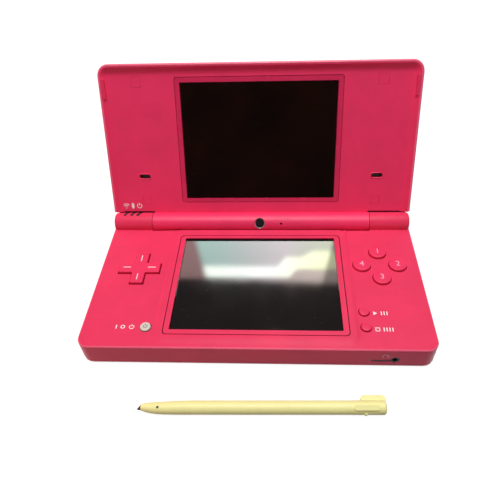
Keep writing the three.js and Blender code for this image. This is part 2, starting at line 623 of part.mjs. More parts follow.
function dpadMembrane() {
  const reach = dpad.domeReach;
  const domes = [[reach, 0], [-reach, 0], [0, reach],
      [0, -reach]].map(([x, y]) => ({ x: dpadX + x, y: dpad.y + y }));
  const area = around(dpadX, dpad.y, dpad.span, dpad.span);
  return keyMembrane(area, domes, [rod(dpadPost.holeRadius, dpadX, dpad.y, boardBottom, dpadPostTop,
      slimSides)]);
}

function faceMembrane() {
  const xs = faceKeyPlaces.map(({ x }) => x);
  const ys = faceKeyPlaces.map(({ y }) => y);
  const reach = keySheet.domeRadius + keySheet.margin;
  const area = grown(region(Math.min(...xs), Math.max(...xs), Math.min(...ys), Math.max(...ys)), reach);
  const clipped = region(area.left, Math.min(area.right, boardArea.right), area.front, area.back);
  return keyMembrane(clipped, faceKeyPlaces);
}

function startSelectMembrane() {
  const reach = keySheet.domeRadius + keySheet.margin / 2;
  const area = grown(region(selectKeyPlace.x, selectKeyPlace.x, selectKeyPlace.y, startKeyPlace.y),
      reach);
  return keyMembrane(area, [startKeyPlace, selectKeyPlace]);
}

function dpadCross() {
  const top = body.faceZ + dpad.rise;
  const cross = crossSolid(0, dpadFlangeBottom, top);
  const flange = rod(dpad.flange, dpadX, dpad.y, dpadFlangeBottom, dpadFlangeTop, roundSides);
  return joined(cross, flange);
}

function volumeButton(y) {
  const inner = -halfWidth + body.wall + gap;
  const cap = box(-halfWidth - volume.proud, inner + volume.flange / 2, y - volume.length / 2,
      y + volume.length / 2, volumeZ - volume.height / 2, volumeZ + volume.height / 2);
  const flange = box(inner, inner + volume.flange, y - volume.length / 2 - volume.lip,
      y + volume.length / 2 + volume.lip, volumeZ - volume.height / 2 - volume.lip,
      volumeZ + volume.height / 2 + volume.lip);
  return joined(cap, flange);
}

function shoulderButton(side) {
  const outer = slab(casePlan, body.corner, shoulderBottom, shoulderTop);
  const inner = slab(grown(casePlan, -shoulder.wall), body.corner - shoulder.wall,
      shoulderBottom - cutOver, shoulderTop - shoulder.wall);
  const [left, right] = side > 0 ? [shoulderInboard, halfWidth + cutOver] : [-halfWidth - cutOver,
      -shoulderInboard];
  const span = box(left, right, shoulderFront, halfDepth + cutOver, 0, body.faceZ);
  const { x, y } = shoulderPivot(side);
  const hub = rod(shoulder.pivotInset, x, y, shoulderBottom, shoulderTop, smallSides);
  const pin = rod(shoulderRoom.pinRadius, x, y, shoulderTop - shoulder.wall,
      shoulderTop + shoulderRoom.pinLength, slimSides);
  return joined(cut(outer, inner).intersect(span), hub, pin);
}

function cardSocket() {
  const back = halfDepth - body.wall - slimGap;
  const front = halfDepth - cardSlot.depth - cardSlot.contactDepth;
  const cage = box(-cardSide, cardSide, front, back, cardSlot.bottomZ - cardSlot.floorWall, cardTop);
  const inside = box(-cardSlot.halfWidth, cardSlot.halfWidth, front + cardSlot.contactDepth,
      back + cutOver, cardSlot.bottomZ, cardTop + cutOver);
  return cut(cage, inside);
}

function sdSocket() {
  const cage = box(sdArea.left, sdArea.right, sdArea.front, sdArea.back, sdBottom - sd.wall,
      sdBottom + sd.slotHeight + sd.wall);
  const inside = box(sdArea.left + sd.wall, sdArea.right + cutOver, sdArea.front + sd.wall,
      sdArea.back - sd.wall, sdBottom, sdBottom + sd.slotHeight);
  return cut(cage, inside);
}

function sdCover() {
  const flap = box(halfWidth - sdDoor.thickness, halfWidth, sdDoorArea.front, sdDoorArea.back,
      sdDoorBottom, sdDoorTop);
  const pin = rod(sdDoor.pinRadius, sdPivot.x, sdPivot.y, sdDoorBottom - sdDoor.pinLength,
    sdDoorTop + sdDoor.pinLength, slimSides);
  return joined(flap, pin);
}

function stylusHolder() {
  const outer = box(holderStart, holderEnd, stylusSlotY - holderHalf, stylusSlotY + holderHalf,
    stylusSlot.centreZ - holderHalf, stylusSlot.centreZ + holderHalf);
  const inside = box(holderStart + stylusSlot.wall, holderEnd + cutOver, stylusSlotY - stylusSlotHalf,
    stylusSlotY + stylusSlotHalf, stylusSlot.centreZ - stylusSlotHalf,
    stylusSlot.centreZ + stylusSlotHalf);
  return cut(outer, inside);
}

function chargerSocket() {
  const back = halfDepth - body.wall - slimGap;
  const left = chargerX - charger.width / 2;
  const right = chargerX + charger.width / 2;
  const blockTop = charger.bottomZ + charger.height;
  const middle = charger.bottomZ + charger.height / 2;
  const mouthHalf = charger.mouthHeight / 2;
  const mouth = box(chargerX - charger.mouthWidth / 2, chargerX + charger.mouthWidth / 2,
    back - charger.depth / 2, back + cutOver, middle - mouthHalf, middle + mouthHalf);
  return cut(box(left, right, back - charger.depth, back, charger.bottomZ, blockTop), mouth);
}

function headphoneJack() {
  const back = jackFront + jack.depth;
  const main = box(jackX - jack.blockHalf, jackX + jack.blockHalf, jackFront, back,
      jack.z - jack.blockDrop, jack.z + jack.blockRise);
  const side = box(jackSlotLeft - jackSlot.margin, jackX, jackFront, back - jack.blockHalf,
    jackSlotBottom - jackSlot.margin, Math.min(jack.z + jackSlot.margin, boardBottom - slimGap));
  const hole = rodAlongY(jack.holeRadius, jackX, jackFront - cutOver, back - jackSlot.margin, jack.z,
      smallSides);
  const slot = box(jackSlotLeft, jackSlotRight, jackFront - cutOver, back - 2 * jack.blockHalf,
      jackSlotBottom, jack.z);
  return cut(joined(main, side), hole, slot);
}

function touchBezel() {
  const frame = slab(bezelArea, bezel.corner, bezelBottom, plateauTop);
  return cut(frame, slab(windowArea, weldDistance * roundSides, bezelBottom - cutOver,
      plateauTop + cutOver));
}

// Inside the hinge
function hingeClutch() {
  const start = knuckleStart + slimGap;
  const end = knuckleReach - knuckle.endWall - clutch.endRoom;
  const can = rodAlongX(clutchRadius, start, end, hingeY, hingeZ, smallSides);
  return joined(can, rodAlongX(shaftRadius, start - shaft.gripLength, start + cutOver, hingeY, hingeZ,
      smallSides));
}

function hingeSleeve() {
  const start = -knuckleStart - slimGap;
  const can = rodAlongX(clutchRadius, start - sleeve.anchorLength, start, hingeY, hingeZ, smallSides);
  const tube = rodAlongX(shaftRadius, start - cutOver, start + shaft.gripLength, hingeY, hingeZ,
      smallSides);
  const bore = rodAlongX(sleeve.bore, start - sleeve.anchorLength - cutOver,
      start + shaft.gripLength + cutOver, hingeY, hingeZ, slimSides);
  return cut(joined(can, tube), bore);
}

function lightGuide(x) {
  const wall = rodAlongX(hinge.radius, -knuckleReach, -knuckleStart, hingeY, hingeZ);
  const inside = rodAlongX(knuckleBore, -knuckleReach - cutOver, -knuckleStart + cutOver, hingeY,
      hingeZ);
  return cut(wall, inside).intersect(lightBox(x, 0));
}

// The lid, in its own frame
const lidStart = hinge.radius + lid.hingeInset;
const lidReach = hingeY + halfDepth - lid.frontInset;
const lidPlan = region(-halfWidth, halfWidth, lidStart, lidReach);
const lidCorners = [lid.hingeCorner, lid.corner];
const plateBackN = lidFace.n - lidFace.plate;
const behindPlateN = plateBackN - gap;
const aboveOuterN = lid.outerN + lidEdge.outerWall + gap;
const speakerX = halfWidth - speaker.sideInset;
const rearEyeX = -halfWidth + rearEye.sideInset;
const rearEyeU = lidReach - rearEye.endInset;
const screenArea = region(windowArea.left, windowArea.right, upperScreen.start,
  lidReach - upperScreen.endInset);
const frameArea = region(bezelArea.left, bezelArea.right, screenArea.front - upperFrame.hingeMargin,
  screenArea.back + upperFrame.endMargin);
const upperLcdArea = region(frameArea.left - upperLcd.sideMargin, frameArea.right + upperLcd.sideMargin,
  frameArea.front - upperLcd.hingeMargin, frameArea.back + upperLcd.endMargin);
const plugX = halfWidth - lidPlug.sideInset;
const plugFarU = lidReach - lidPlug.endInset;
const plugPlaces = [
  { name: "lid_screw_plug_1", x: -plugX, u: plugFarU, size: lidPlug.size },
  { name: "lid_screw_plug_2", x: plugX, u: plugFarU, size: lidPlug.size },
  { name: "lid_screw_plug_3", x: -plugX, u: lidPlug.nearU, size: lidPlug.smallSize },
  { name: "lid_screw_plug_4", x: plugX, u: lidPlug.nearU, size: lidPlug.smallSize },
];

function facePocket() {
  const start = lidStart - 2 * cutOver;
  const floorHalf = halfWidth - lidFace.sideInset;
  const mouthHalf = halfWidth - lidFace.rimSideInset;
  const floor = region(-floorHalf, floorHalf, start, lidReach - lidFace.endInset);
  const mouth = region(-mouthHalf, mouthHalf, start, lidReach - lidFace.rimEndInset);
  const grow = (mouthHalf - floorHalf) / (lid.rimN - lidFace.n);
  const above = region(mouth.left - grow * cutOver, mouth.right + grow * cutOver, start,
      mouth.back + grow * cutOver);
  const square = weldDistance * roundSides;
  return loft([
    { points: outline(floor, square, lidFace.corner), z: lidFace.n },
    { points: outline(mouth, square, lidFace.corner), z: lid.rimN },
    { points: outline(above, square, lidFace.corner), z: lid.rimN + cutOver },
  ]);
}

function speakerSlot(side) {
  const area = around(side * speakerX, speaker.centreU, speaker.slotLength, speaker.slotHeight);
  return slab(area, speaker.slotHeight / 2 - weldDistance * roundSides, plateBackN - cutOver,
      lidFace.n + cutOver);
}

function bumperArea(side) {
  const outer = halfWidth - bumper.sideInset;
  const inner = outer - bumper.width;
  const [left, right] = side > 0 ? [inner, outer] : [-outer, -inner];
  const end = lidReach - bumper.endInset;
  return region(left, right, end - bumper.length, end);
}

function lidInnerShell() {
  const outer = slab(lidPlan, lidCorners, lid.seamN + slimGap, lid.rimN,
      { topFillet: lidEdge.rimFillet });
  const back = slab(grown(lidPlan, -lidEdge.wall), [lid.hingeCorner, lid.corner - lidEdge.wall],
    lid.seamN - cutOver, plateBackN);
  const barrel = rodAlongX(hinge.radius, -barrelHalf, barrelHalf, 0, 0);
  const bridge = box(-barrelHalf + web.endInset, barrelHalf - web.endInset, web.start,
      lidStart + web.into, lid.seamN + slimGap, lidFace.n);
  const bore = rodAlongX(hinge.radius - barrelBore.wall, -barrelHalf + shaft.gripLength,
      barrelHalf - shaft.gripLength, 0, 0);
  const endBore = rodAlongX(barrelBore.endRadius, -barrelHalf - cutOver, barrelHalf + cutOver, 0, 0,
      smallSides);
  let shell = joined(cut(outer, back, facePocket()), barrel, bridge);

  const frameSeat = slab(grown(frameArea, slimGap), upperFrame.corner + slimGap,
    lidFace.n - upperFrame.thickness - gap, lidFace.n + cutOver);
  const screenHole = slab(grown(screenArea, -slimGap), weldDistance * roundSides, lid.seamN - cutOver,
      lidFace.n + cutOver);
  const plugSeats = plugPlaces.map(({ x, u, size }) =>
    slab(around(x, u, size + 2 * lidPlug.gap, size + 2 * lidPlug.gap), lidPlug.corner,
      lidFace.n - lidPlug.depth - gap, lidFace.n + cutOver));
  const bumperSeats = [1, -1].map((side) =>
    slab(grown(bumperArea(side), bumper.gap), bumper.corner, lid.rimN - bumper.depth - gap,
        lid.rimN + cutOver));
  const eyeHole = rodFromAxis(eye.ringOuter + eye.holeGap, 0, 0, hinge.radius + cutOver,
      eye.tiltAngle);
  const micHole = rodFromAxis(mic.holeRadius, mic.x, 0, hinge.radius + cutOver, mic.tiltAngle, slimSides);
  shell = cut(shell, bore, endBore, frameSeat, screenHole, ...plugSeats, ...bumperSeats, eyeHole,
      micHole);
  return cut(shell, speakerSlot(1), speakerSlot(-1));
}

function lidOuterShell() {
  const outer = slab(lidPlan, lidCorners, lid.outerN, lid.seamN, { bottomFillet: lidEdge.outerFillet });
  const hollow = slab(grown(lidPlan, -lidEdge.wall), [lid.hingeCorner, lid.corner - lidEdge.wall],
    lid.outerN + lidEdge.outerWall, lid.seamN + cutOver);
  const eyeHole = rod(rearEye.radius + rearEye.gap, rearEyeX, rearEyeU, lid.outerN - cutOver,
      lid.seamN);
  return cut(outer, hollow, eyeHole);
}

function upperBorder() {
  const frame = slab(frameArea, upperFrame.corner, lidFace.n - upperFrame.thickness, lidFace.n);
  const hole = slab(grown(screenArea, slimGap), weldDistance * roundSides, lid.seamN,
      lidFace.n + cutOver);
  return cut(frame, hole);
}

function rearCamera() {
  const outside = lid.outerN - rearEye.proud;
  const barrel = rod(rearEye.radius, rearEyeX, rearEyeU, outside, outside + rearEye.length);
  const dish = rod(rearEye.radius - rearEye.ringWall, rearEyeX, rearEyeU, outside - cutOver,
      outside + rearEye.dish);
  return cut(barrel, dish);
}

function eyeRing() {
  const top = hinge.radius + eye.proud;
  const bottom = hinge.radius - eye.ringHeight;
  const ring = rodFromAxis(eye.ringOuter, 0, bottom, top, eye.tiltAngle);
  const skin = rodAlongX(top, -2 * eye.ringOuter, 2 * eye.ringOuter, 0, 0, 2 * roundSides);
  const hole = rodFromAxis(eye.ringInner, 0, bottom - cutOver, top + cutOver, eye.tiltAngle);
  return cut(ring.intersect(skin), hole);
}

function lidParts() {
  const lidBumper = (side) => slab(bumperArea(side), bumper.corner, lid.rimN - bumper.depth,
      lid.rimN + bumper.proud);
  const lidSpeaker = (side) => rod(speaker.radius, side * speakerX, speaker.centreU, aboveOuterN,
      behindPlateN);
  const glassTop = lidFace.n - upperScreen.recess;
  const plugs = plugPlaces.map(({ name, x, u, size }) =>
    node(name, slab(around(x, u, size, size), lidPlug.corner, lidFace.n - lidPlug.depth, lidFace.n),
        pinkShell));
  const glass = slab(grown(screenArea, -slimGap), slimGap, glassTop - upperScreen.thickness, glassTop);
  const lensTop = hinge.radius - eye.lensDrop;
  const eyeModule = rodFromAxis(eye.lensRadius, 0, lensTop - eye.moduleLength, lensTop, eye.tiltAngle);
  const micTop = hinge.radius - barrelBore.wall - mic.inset;
  const micCapsule = rodFromAxis(mic.radius, mic.x, micTop - mic.length, micTop, mic.tiltAngle);
  return [
    node("lid_inner_shell", lidInnerShell(), pinkShell),
    node("lid_outer_shell", lidOuterShell(), pinkShell),
    node("upper_screen_border", upperBorder(), pinkBorder),
    node("upper_screen_glass", glass, darkGlass),
    node("upper_lcd_module", slab(upperLcdArea, slimGap, aboveOuterN, behindPlateN), darkPlastic),
    node("speaker_left", lidSpeaker(-1), darkPlastic),
    node("speaker_right", lidSpeaker(1), darkPlastic),
    node("inner_camera_ring", eyeRing(), brightRing),
    node("inner_camera", eyeModule, darkGlass),
    node("outer_camera", rearCamera(), darkGlass),
    node("microphone", micCapsule, steel),
    node("lid_bumper_left", lidBumper(-1), pinkRubber),
    node("lid_bumper_right", lidBumper(1), pinkRubber),
    ...plugs,
  ];
}

// The stylus, in its own frame: +X runs from its point to its end
const penConeBase = -penHalf + penEnds.tipLength;

function stylusBarrel() {
  const profile = [
    [penConeBase, 0],
    [penConeBase, penTip.seatRadius],
    [-penHalf + penEnds.taperLength, pen.radius],
    [penHalf - penEnds.endFillet, pen.radius],
    [penHalf, pen.radius - penEnds.endFillet],
    [penHalf, 0],
  ];
  const shaftForm = turnedAlongX(profile, 0, 0);
  const flagArea = region(penHalf - penFlag.length, penHalf, 0, penFlag.reach);
  const flag = slab(flagArea, penFlag.corner, -penFlag.thickness / 2, penFlag.thickness / 2);
  const rib = box(penHalf - penRib.startInset, penHalf - penRib.endInset, -penRib.width / 2,
      penRib.width / 2, 0, pen.radius + penRib.height);
  const nub = rodAlongY(penNub.radius, penHalf - penNub.endInset, -pen.radius - penNub.proud, 0, 0,
      smallSides);
  const socket = rodAlongX(penTip.baseRadius, penConeBase - cutOver, penConeBase + cutOver, 0, 0,
      smallSides);
  return cut(joined(shaftForm, flag, rib, nub), socket);
}

function stylusTip() {
  const stub = penTip.baseRadius - penTip.gap;
  return turnedAlongX([
    [-penHalf, 0],
    [-penHalf + penTip.gap, penTip.radius],
    [penConeBase - penTip.gap, penTip.baseRadius],
    [penConeBase - penTip.gap, stub],
    [penConeBase + cutOver - penTip.gap, stub],
    [penConeBase + cutOver - penTip.gap, 0],
  ], 0, 0, smallSides);
}

// Putting the console together
function lowerParts() {
  const batteryForm = slab(batteryArea, battery.corner, batteryBottom, boardBottom - gap);
  const touchPlate = slab(grown(windowArea, touch.rim), touch.rim, touchTop - touch.thickness, touchTop);
  const flexForm = rodAlongX(sleeve.bore - gap, -knuckleStart - flex.intoKnuckle,
      -knuckleStart + flex.intoBarrel, hingeY, hingeZ, slimSides);
  const screws = screwPlaces.map((place, index) =>
    node(`case_screw_${index + 1}`, caseScrew(place, bossBottom + screw.length - slimGap), steel));
  const guides = lightPlaces.map((x, index) => node(`status_light_guide_${index + 1}`, lightGuide(x),
      smokeLens));
  const batteryShank = batteryBottom - slimGap;
  return [
    node("lower_face_shell", lowerFaceShell(), pinkShell),
    node("bottom_cover", bottomCover(), pinkShell),
    node("battery_cover", batteryCover(), pinkShell),
    node("battery_cover_screw", caseScrew(batteryScrewPlace(), batteryShank), steel),
    node("battery_pack", batteryForm, batteryGrey),
    node("main_board", mainBoard(), greenBoard),
    node("lower_lcd_module", slab(lowerLcdArea, slimGap, lowerLcdBottom, lowerLcdTop), darkPlastic),
    node("touch_panel", touchPlate, darkGlass),
    node("touch_screen_bezel", touchBezel(), pinkShell),
    node("dpad_membrane", dpadMembrane(), greyRubber),
    node("face_button_membrane", faceMembrane(), greyRubber),
    node("start_select_membrane", startSelectMembrane(), greyRubber),
    node("card_slot_socket", cardSocket(), darkPlastic),
    node("sd_card_socket", sdSocket(), steel),
    node("stylus_holder", stylusHolder(), darkPlastic),
    node("charging_socket", chargerSocket(), darkPlastic),
    node("headphone_jack", headphoneJack(), darkPlastic),
    node("hinge_clutch", hingeClutch(), steel),
    node("hinge_sleeve", hingeSleeve(), steel),
    node("hinge_flex_cable", flexForm, cableAmber),
    ...guides,
    ...screws,
  ];
}

function controlParts() {
  const round = (place, size, material) => node(place.name, roundKey(place, size, body.faceZ), material);
  const post = rod(dpadPost.radius, dpadX, dpad.y, boardTop + dpadPost.aboveBoard, dpadPostTop,
      smallSides);
  return [
    node("dpad", dpadCross(), pinkKey),
    node("dpad_pivot", post, greyRubber),
    ...faceKeyPlaces.map((place) => round(place, faceKey, pinkKey)),
    round(startKeyPlace, smallKey, pinkKey),
    round(selectKeyPlace, smallKey, pinkKey),
    round(powerKeyPlace, powerKey, whiteKey),
    node("volume_up_button", volumeButton(volume.upY), pinkKey),
    node("volume_down_button", volumeButton(volume.downY), pinkKey),
    node("shoulder_button_left", shoulderButton(-1), pinkKey),
    node("shoulder_button_right", shoulderButton(1), pinkKey),
    node("sd_cover", sdCover(), pinkShell),
  ];
}

const lidGroup = new THREE.Group();
lidGroup.position.set(0, hingeY, hingeZ);
lidGroup.rotation.x = radians(2 * quarterTurn - hinge.openAngle);
lidGroup.add(...lidParts());

const stylusGroup = new THREE.Group();
stylusGroup.position.set(pen.centreX, -halfDepth - pen.frontGap, pen.radius + pen.restGap);
stylusGroup.rotation.z = radians(pen.turnAngle);
stylusGroup.add(node("stylus_barrel", stylusBarrel(), creamPlastic),
    node("stylus_tip", stylusTip(), darkPlastic));

const group = new THREE.Group();
group.add(...lowerParts(), ...controlParts(), lidGroup, stylusGroup);

export default group;
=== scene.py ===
# The looks of the clamshell handheld game console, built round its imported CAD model.
# Metres, in the model's own frame: +X to the right, +Y to the hinge, +Z up, at rest.
import json
import math

import bmesh
import bpy
from mathutils import Matrix, Vector

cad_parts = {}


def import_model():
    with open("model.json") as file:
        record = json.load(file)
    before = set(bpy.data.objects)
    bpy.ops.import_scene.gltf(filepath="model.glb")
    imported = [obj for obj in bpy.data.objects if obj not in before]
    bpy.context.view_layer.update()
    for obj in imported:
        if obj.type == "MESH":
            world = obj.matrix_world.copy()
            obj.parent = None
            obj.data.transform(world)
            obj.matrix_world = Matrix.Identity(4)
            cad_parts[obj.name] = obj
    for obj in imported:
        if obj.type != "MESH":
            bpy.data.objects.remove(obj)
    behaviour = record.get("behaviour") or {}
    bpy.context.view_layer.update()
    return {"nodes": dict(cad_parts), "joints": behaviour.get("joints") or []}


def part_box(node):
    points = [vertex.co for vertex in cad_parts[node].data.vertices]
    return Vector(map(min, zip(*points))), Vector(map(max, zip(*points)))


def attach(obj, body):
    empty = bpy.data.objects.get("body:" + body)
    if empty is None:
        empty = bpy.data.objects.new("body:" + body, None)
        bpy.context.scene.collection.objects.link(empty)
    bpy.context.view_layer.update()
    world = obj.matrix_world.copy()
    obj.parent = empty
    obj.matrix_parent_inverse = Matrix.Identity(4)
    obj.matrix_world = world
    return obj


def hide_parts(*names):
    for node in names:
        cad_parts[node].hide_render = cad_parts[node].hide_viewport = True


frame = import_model()

# Camera, fitted to the photograph
camera_place = Vector((0.00917, -0.14127, 0.16530))
camera_right = Vector((0.99870795, 0.0374515, -0.03434857))
camera_up = Vector((-0.0032221, 0.72122497, 0.69269341))
camera_lens = 35.41
camera_sensor = 36
camera_shift = (-0.0091, 0.0284)
near_clip = 0.01
far_clip = 20

# Mesh fineness and edge softness
round_sides = 64
small_sides = 32
corner_steps = 6
fillet_steps = 4
arc_steps = 18
bevel_steps = 2
weld_distance = 0.000004
flat_angle = math.radians(0.6)
crease_angle = math.radians(32)
smooth_angle = math.radians(38)
plane_reach = 0.00002
fine_edge = 0.00012
soft_edge = 0.0002
half_turn = math.pi
quarter_turn = math.pi / 2

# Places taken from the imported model
hinge_joint = next(joint for joint in frame["joints"] if joint["name"] == "lid_hinge")
hinge_point = Vector(hinge_joint["pos_m"])
lid_turn = half_turn - math.radians(hinge_joint["range_deg"][1])
lid_place = Matrix.Translation(hinge_point) @ Matrix.Rotation(lid_turn, 4, "X")


def srgb(red, green, blue):
    """A colour as a photograph writes it, 0 to 255, as the linear colour that the shaders take."""
    linear = []
    for value in (red, green, blue):
        share = value / 255
        linear.append(share / 12.92 if share <= 0.04045 else ((share + 0.055) / 1.055) ** 2.4)
    return (*linear, 1)


def scaled(colour, share):
    return (*(min(1, value * share) for value in colour[:3]), 1)


# Node helpers. Noise up to the low level counts as its lowest, from the high level on as its highest.
low_level = 0.3
high_level = 0.7


def feed(tree, value, socket):
    """Sets a socket to a plain value, or joins it to another node's output."""
    if isinstance(value, (int, float, tuple)):
        socket.default_value = value
    else:
        tree.links.new(value, socket)


def wired(tree, kind, values):
    """A node of this kind, with its inputs fed by their names."""
    made = tree.nodes.new(kind)
    for name, value in values.items():
        feed(tree, value, made.inputs[name])
    return made


def maths(tree, operation, *values):
    made = tree.nodes.new("ShaderNodeMath")
    made.operation = operation
    for value, socket in zip(values, made.inputs):
        feed(tree, value, socket)
    return made.outputs["Value"]


def noise(tree, place, size, detail=2):
    inputs = {"Vector": place, "Scale": 1 / size, "Detail": detail}
    return wired(tree, "ShaderNodeTexNoise", inputs).outputs["Fac"]


def ramp(tree, value, stops):
    made = tree.nodes.new("ShaderNodeValToRGB")
    elements = made.color_ramp.elements
    while len(elements) < len(stops):
        elements.new(0.5)
    for element, (position, colour) in zip(elements, stops):
        element.position = position
        element.color = colour
    tree.links.new(value, made.inputs["Fac"])
    return made.outputs["Color"]


def two_tone(tree, value, dark, light):
    return ramp(tree, value, [(low_level, dark), (high_level, light)])


def mapped(tree, value, start, end, low, high, way):
    """Goes from low to high as the value goes from start to end."""
    made = wired(tree, "ShaderNodeMapRange", {"Value": value, "From Min": start, "From Max": end,
                                              "To Min": low, "To Max": high})
    made.interpolation_type = way
    return made.outputs["Result"]


def spread(tree, value, low, high, start=low_level, end=high_level):
    return mapped(tree, value, start, end, low, high, "LINEAR")


def eased(tree, value, start, end, low=0, high=1):
    return mapped(tree, value, start, end, low, high, "SMOOTHSTEP")


def less(tree, value, taken):
    return maths(tree, "SUBTRACT", value, taken)


def times(tree, value, share):
    return maths(tree, "MULTIPLY", value, share)


def relief(tree, height, depth, under=None):
    made = wired(tree, "ShaderNodeBump", {"Height": height, "Distance": depth})
    if under is not None:
        tree.links.new(under, made.inputs["Normal"])
    return made.outputs["Normal"]


def blended(tree, factor, first, second):
    made = tree.nodes.new("ShaderNodeMix")
    made.data_type = "RGBA"
    tree.links.new(factor, made.inputs["Factor"])
    colours = [socket for socket in made.inputs if socket.type == "RGBA"]
    for value, socket in zip((first, second), colours):
        feed(tree, value, socket)
    return next(socket for socket in made.outputs if socket.type == "RGBA")


# Kinds of material
def dress(tree, shader, tone, roughness, normal):
    for value, name in ((tone, "Base Color"), (roughness, "Roughness"), (normal, "Normal")):
        tree.links.new(value, shader.inputs[name])


def started(name, *, specular=0.5, metallic=0):
    made = bpy.data.materials.new(name)
    made.use_nodes = True
    tree = made.node_tree
    shader = tree.nodes["Principled BSDF"]
    shader.inputs["Specular IOR Level"].default_value = specular
    shader.inputs["Metallic"].default_value = metallic
    place = tree.nodes.new("ShaderNodeTexCoord").outputs["Object"]
    return made, tree, shader, place


wear_share = 1 / 3
wave_share = 4


def moulded(name, colour, roughness, *, drift=0.05, patch=0.012, grain=0.00022, depth=0.000002,
            specular=0.5):
    """Moulded plastic or rubber: its tone drifts a little, and its spark-eroded grain shows."""
    made, tree, shader, place = started(name, specular=specular)
    tone = two_tone(tree, noise(tree, place, patch, 3), scaled(colour, 1 - drift),
                    scaled(colour, 1 + drift))
    wear = noise(tree, place, patch * wear_share, 3)
    wave = relief(tree, noise(tree, place, patch, 1), depth * wave_share)
    dress(tree, shader, tone, spread(tree, wear, *roughness),
          relief(tree, noise(tree, place, grain), depth, wave))
    return made


line_size = 0.0003
line_depth = 0.000004
line_shade = 0.85


def brushed(name, colour, roughness, *, stretch=(1, 1, 1)):
    """Plated or drawn metal, with fine lines along one direction."""
    made, tree, shader, place = started(name, metallic=1)
    mapping = wired(tree, "ShaderNodeMapping", {"Vector": place, "Scale": stretch})
    lines = noise(tree, mapping.outputs["Vector"], line_size, 3)
    dress(tree, shader, two_tone(tree, lines, scaled(colour, line_shade), colour),
          spread(tree, lines, *roughness), relief(tree, lines, line_depth))
    return made


glass_drift_size = 0.02
glass_wear_size = 0.008
glass_wave_size = 0.0009
glass_wave_depth = 0.0000004
dust_size = 0.0016
dust_reach = (0.03, 0.07)
dust_patch_share = 1.3
dust_levels = (0.6, 0.62)
dust_tone = srgb(190, 180, 150)


def glass_black(name, colour, roughness, *, specular, dust=0, tones=(0.8, 1.2)):
    """A dark glass, with a faint drift of tone and, on the screens, a few specks of dust."""
    made, tree, shader, place = started(name, specular=specular)
    darker, lighter = tones
    tone = two_tone(tree, noise(tree, place, glass_drift_size), scaled(colour, darker),
                    scaled(colour, lighter))
    if dust:
        cells = wired(tree, "ShaderNodeTexVoronoi", {"Vector": place, "Scale": 1 / dust_size})
        specks = spread(tree, cells.outputs["Distance"], dust, 0, *dust_reach)
        patches = noise(tree, place, dust_size * dust_patch_share, 0)
        chosen = spread(tree, patches, 0, 1, *dust_levels)
        tone = blended(tree, times(tree, specks, chosen), tone, dust_tone)
    wear = noise(tree, place, glass_wear_size)
    wave = noise(tree, place, glass_wave_size, 1)
    dress(tree, shader, tone, spread(tree, wear, *roughness), relief(tree, wave, glass_wave_depth))
    return made


tracks = {"Scale": 180, "Mortar Size": 0.04, "Color1": srgb(30, 104, 58), "Color2": srgb(36, 118, 66),
          "Mortar": srgb(60, 150, 92)}
track_depth = 0.00003
solder_size = 0.0011
solder_levels = (0.66, 0.68)
solder_tone = srgb(190, 190, 180)
mask_roughness = 0.5
solder_roughness = 0.3


def circuit_board(name):
    """Green solder mask over tracks, with tinned pads."""
    made, tree, shader, place = started(name)
    bricks = wired(tree, "ShaderNodeTexBrick", {**tracks, "Vector": place})
    pads = spread(tree, noise(tree, place, solder_size, 1), 0, 1, *solder_levels)
    dress(tree, shader, blended(tree, pads, bricks.outputs["Color"], solder_tone),
          spread(tree, pads, mask_roughness, solder_roughness, 0, 1),
          relief(tree, bricks.outputs["Fac"], track_depth))
    return made


# Colours, as they look in plain light, except where painted light is noted
pink = srgb(236, 56, 96)
# The lid's pink is a lit copy of the shell's pink: the same plastic, toned apart to match how the
# lamps light the tilted lid, so painted light.
pink_lid_lit_copy = srgb(246, 52, 102)
# A lighter pink for the rounded rims and edges: a painted highlight on them, with lower roughness for
# some real gloss.
pink_painted_highlight = srgb(250, 92, 128)
key_pink = srgb(239, 54, 98)
border_pink = srgb(224, 45, 92)
rubber_pink = srgb(236, 50, 96)
mark_pink = srgb(252, 184, 204)
mark_white = srgb(255, 240, 238)
cream = srgb(252, 244, 168)

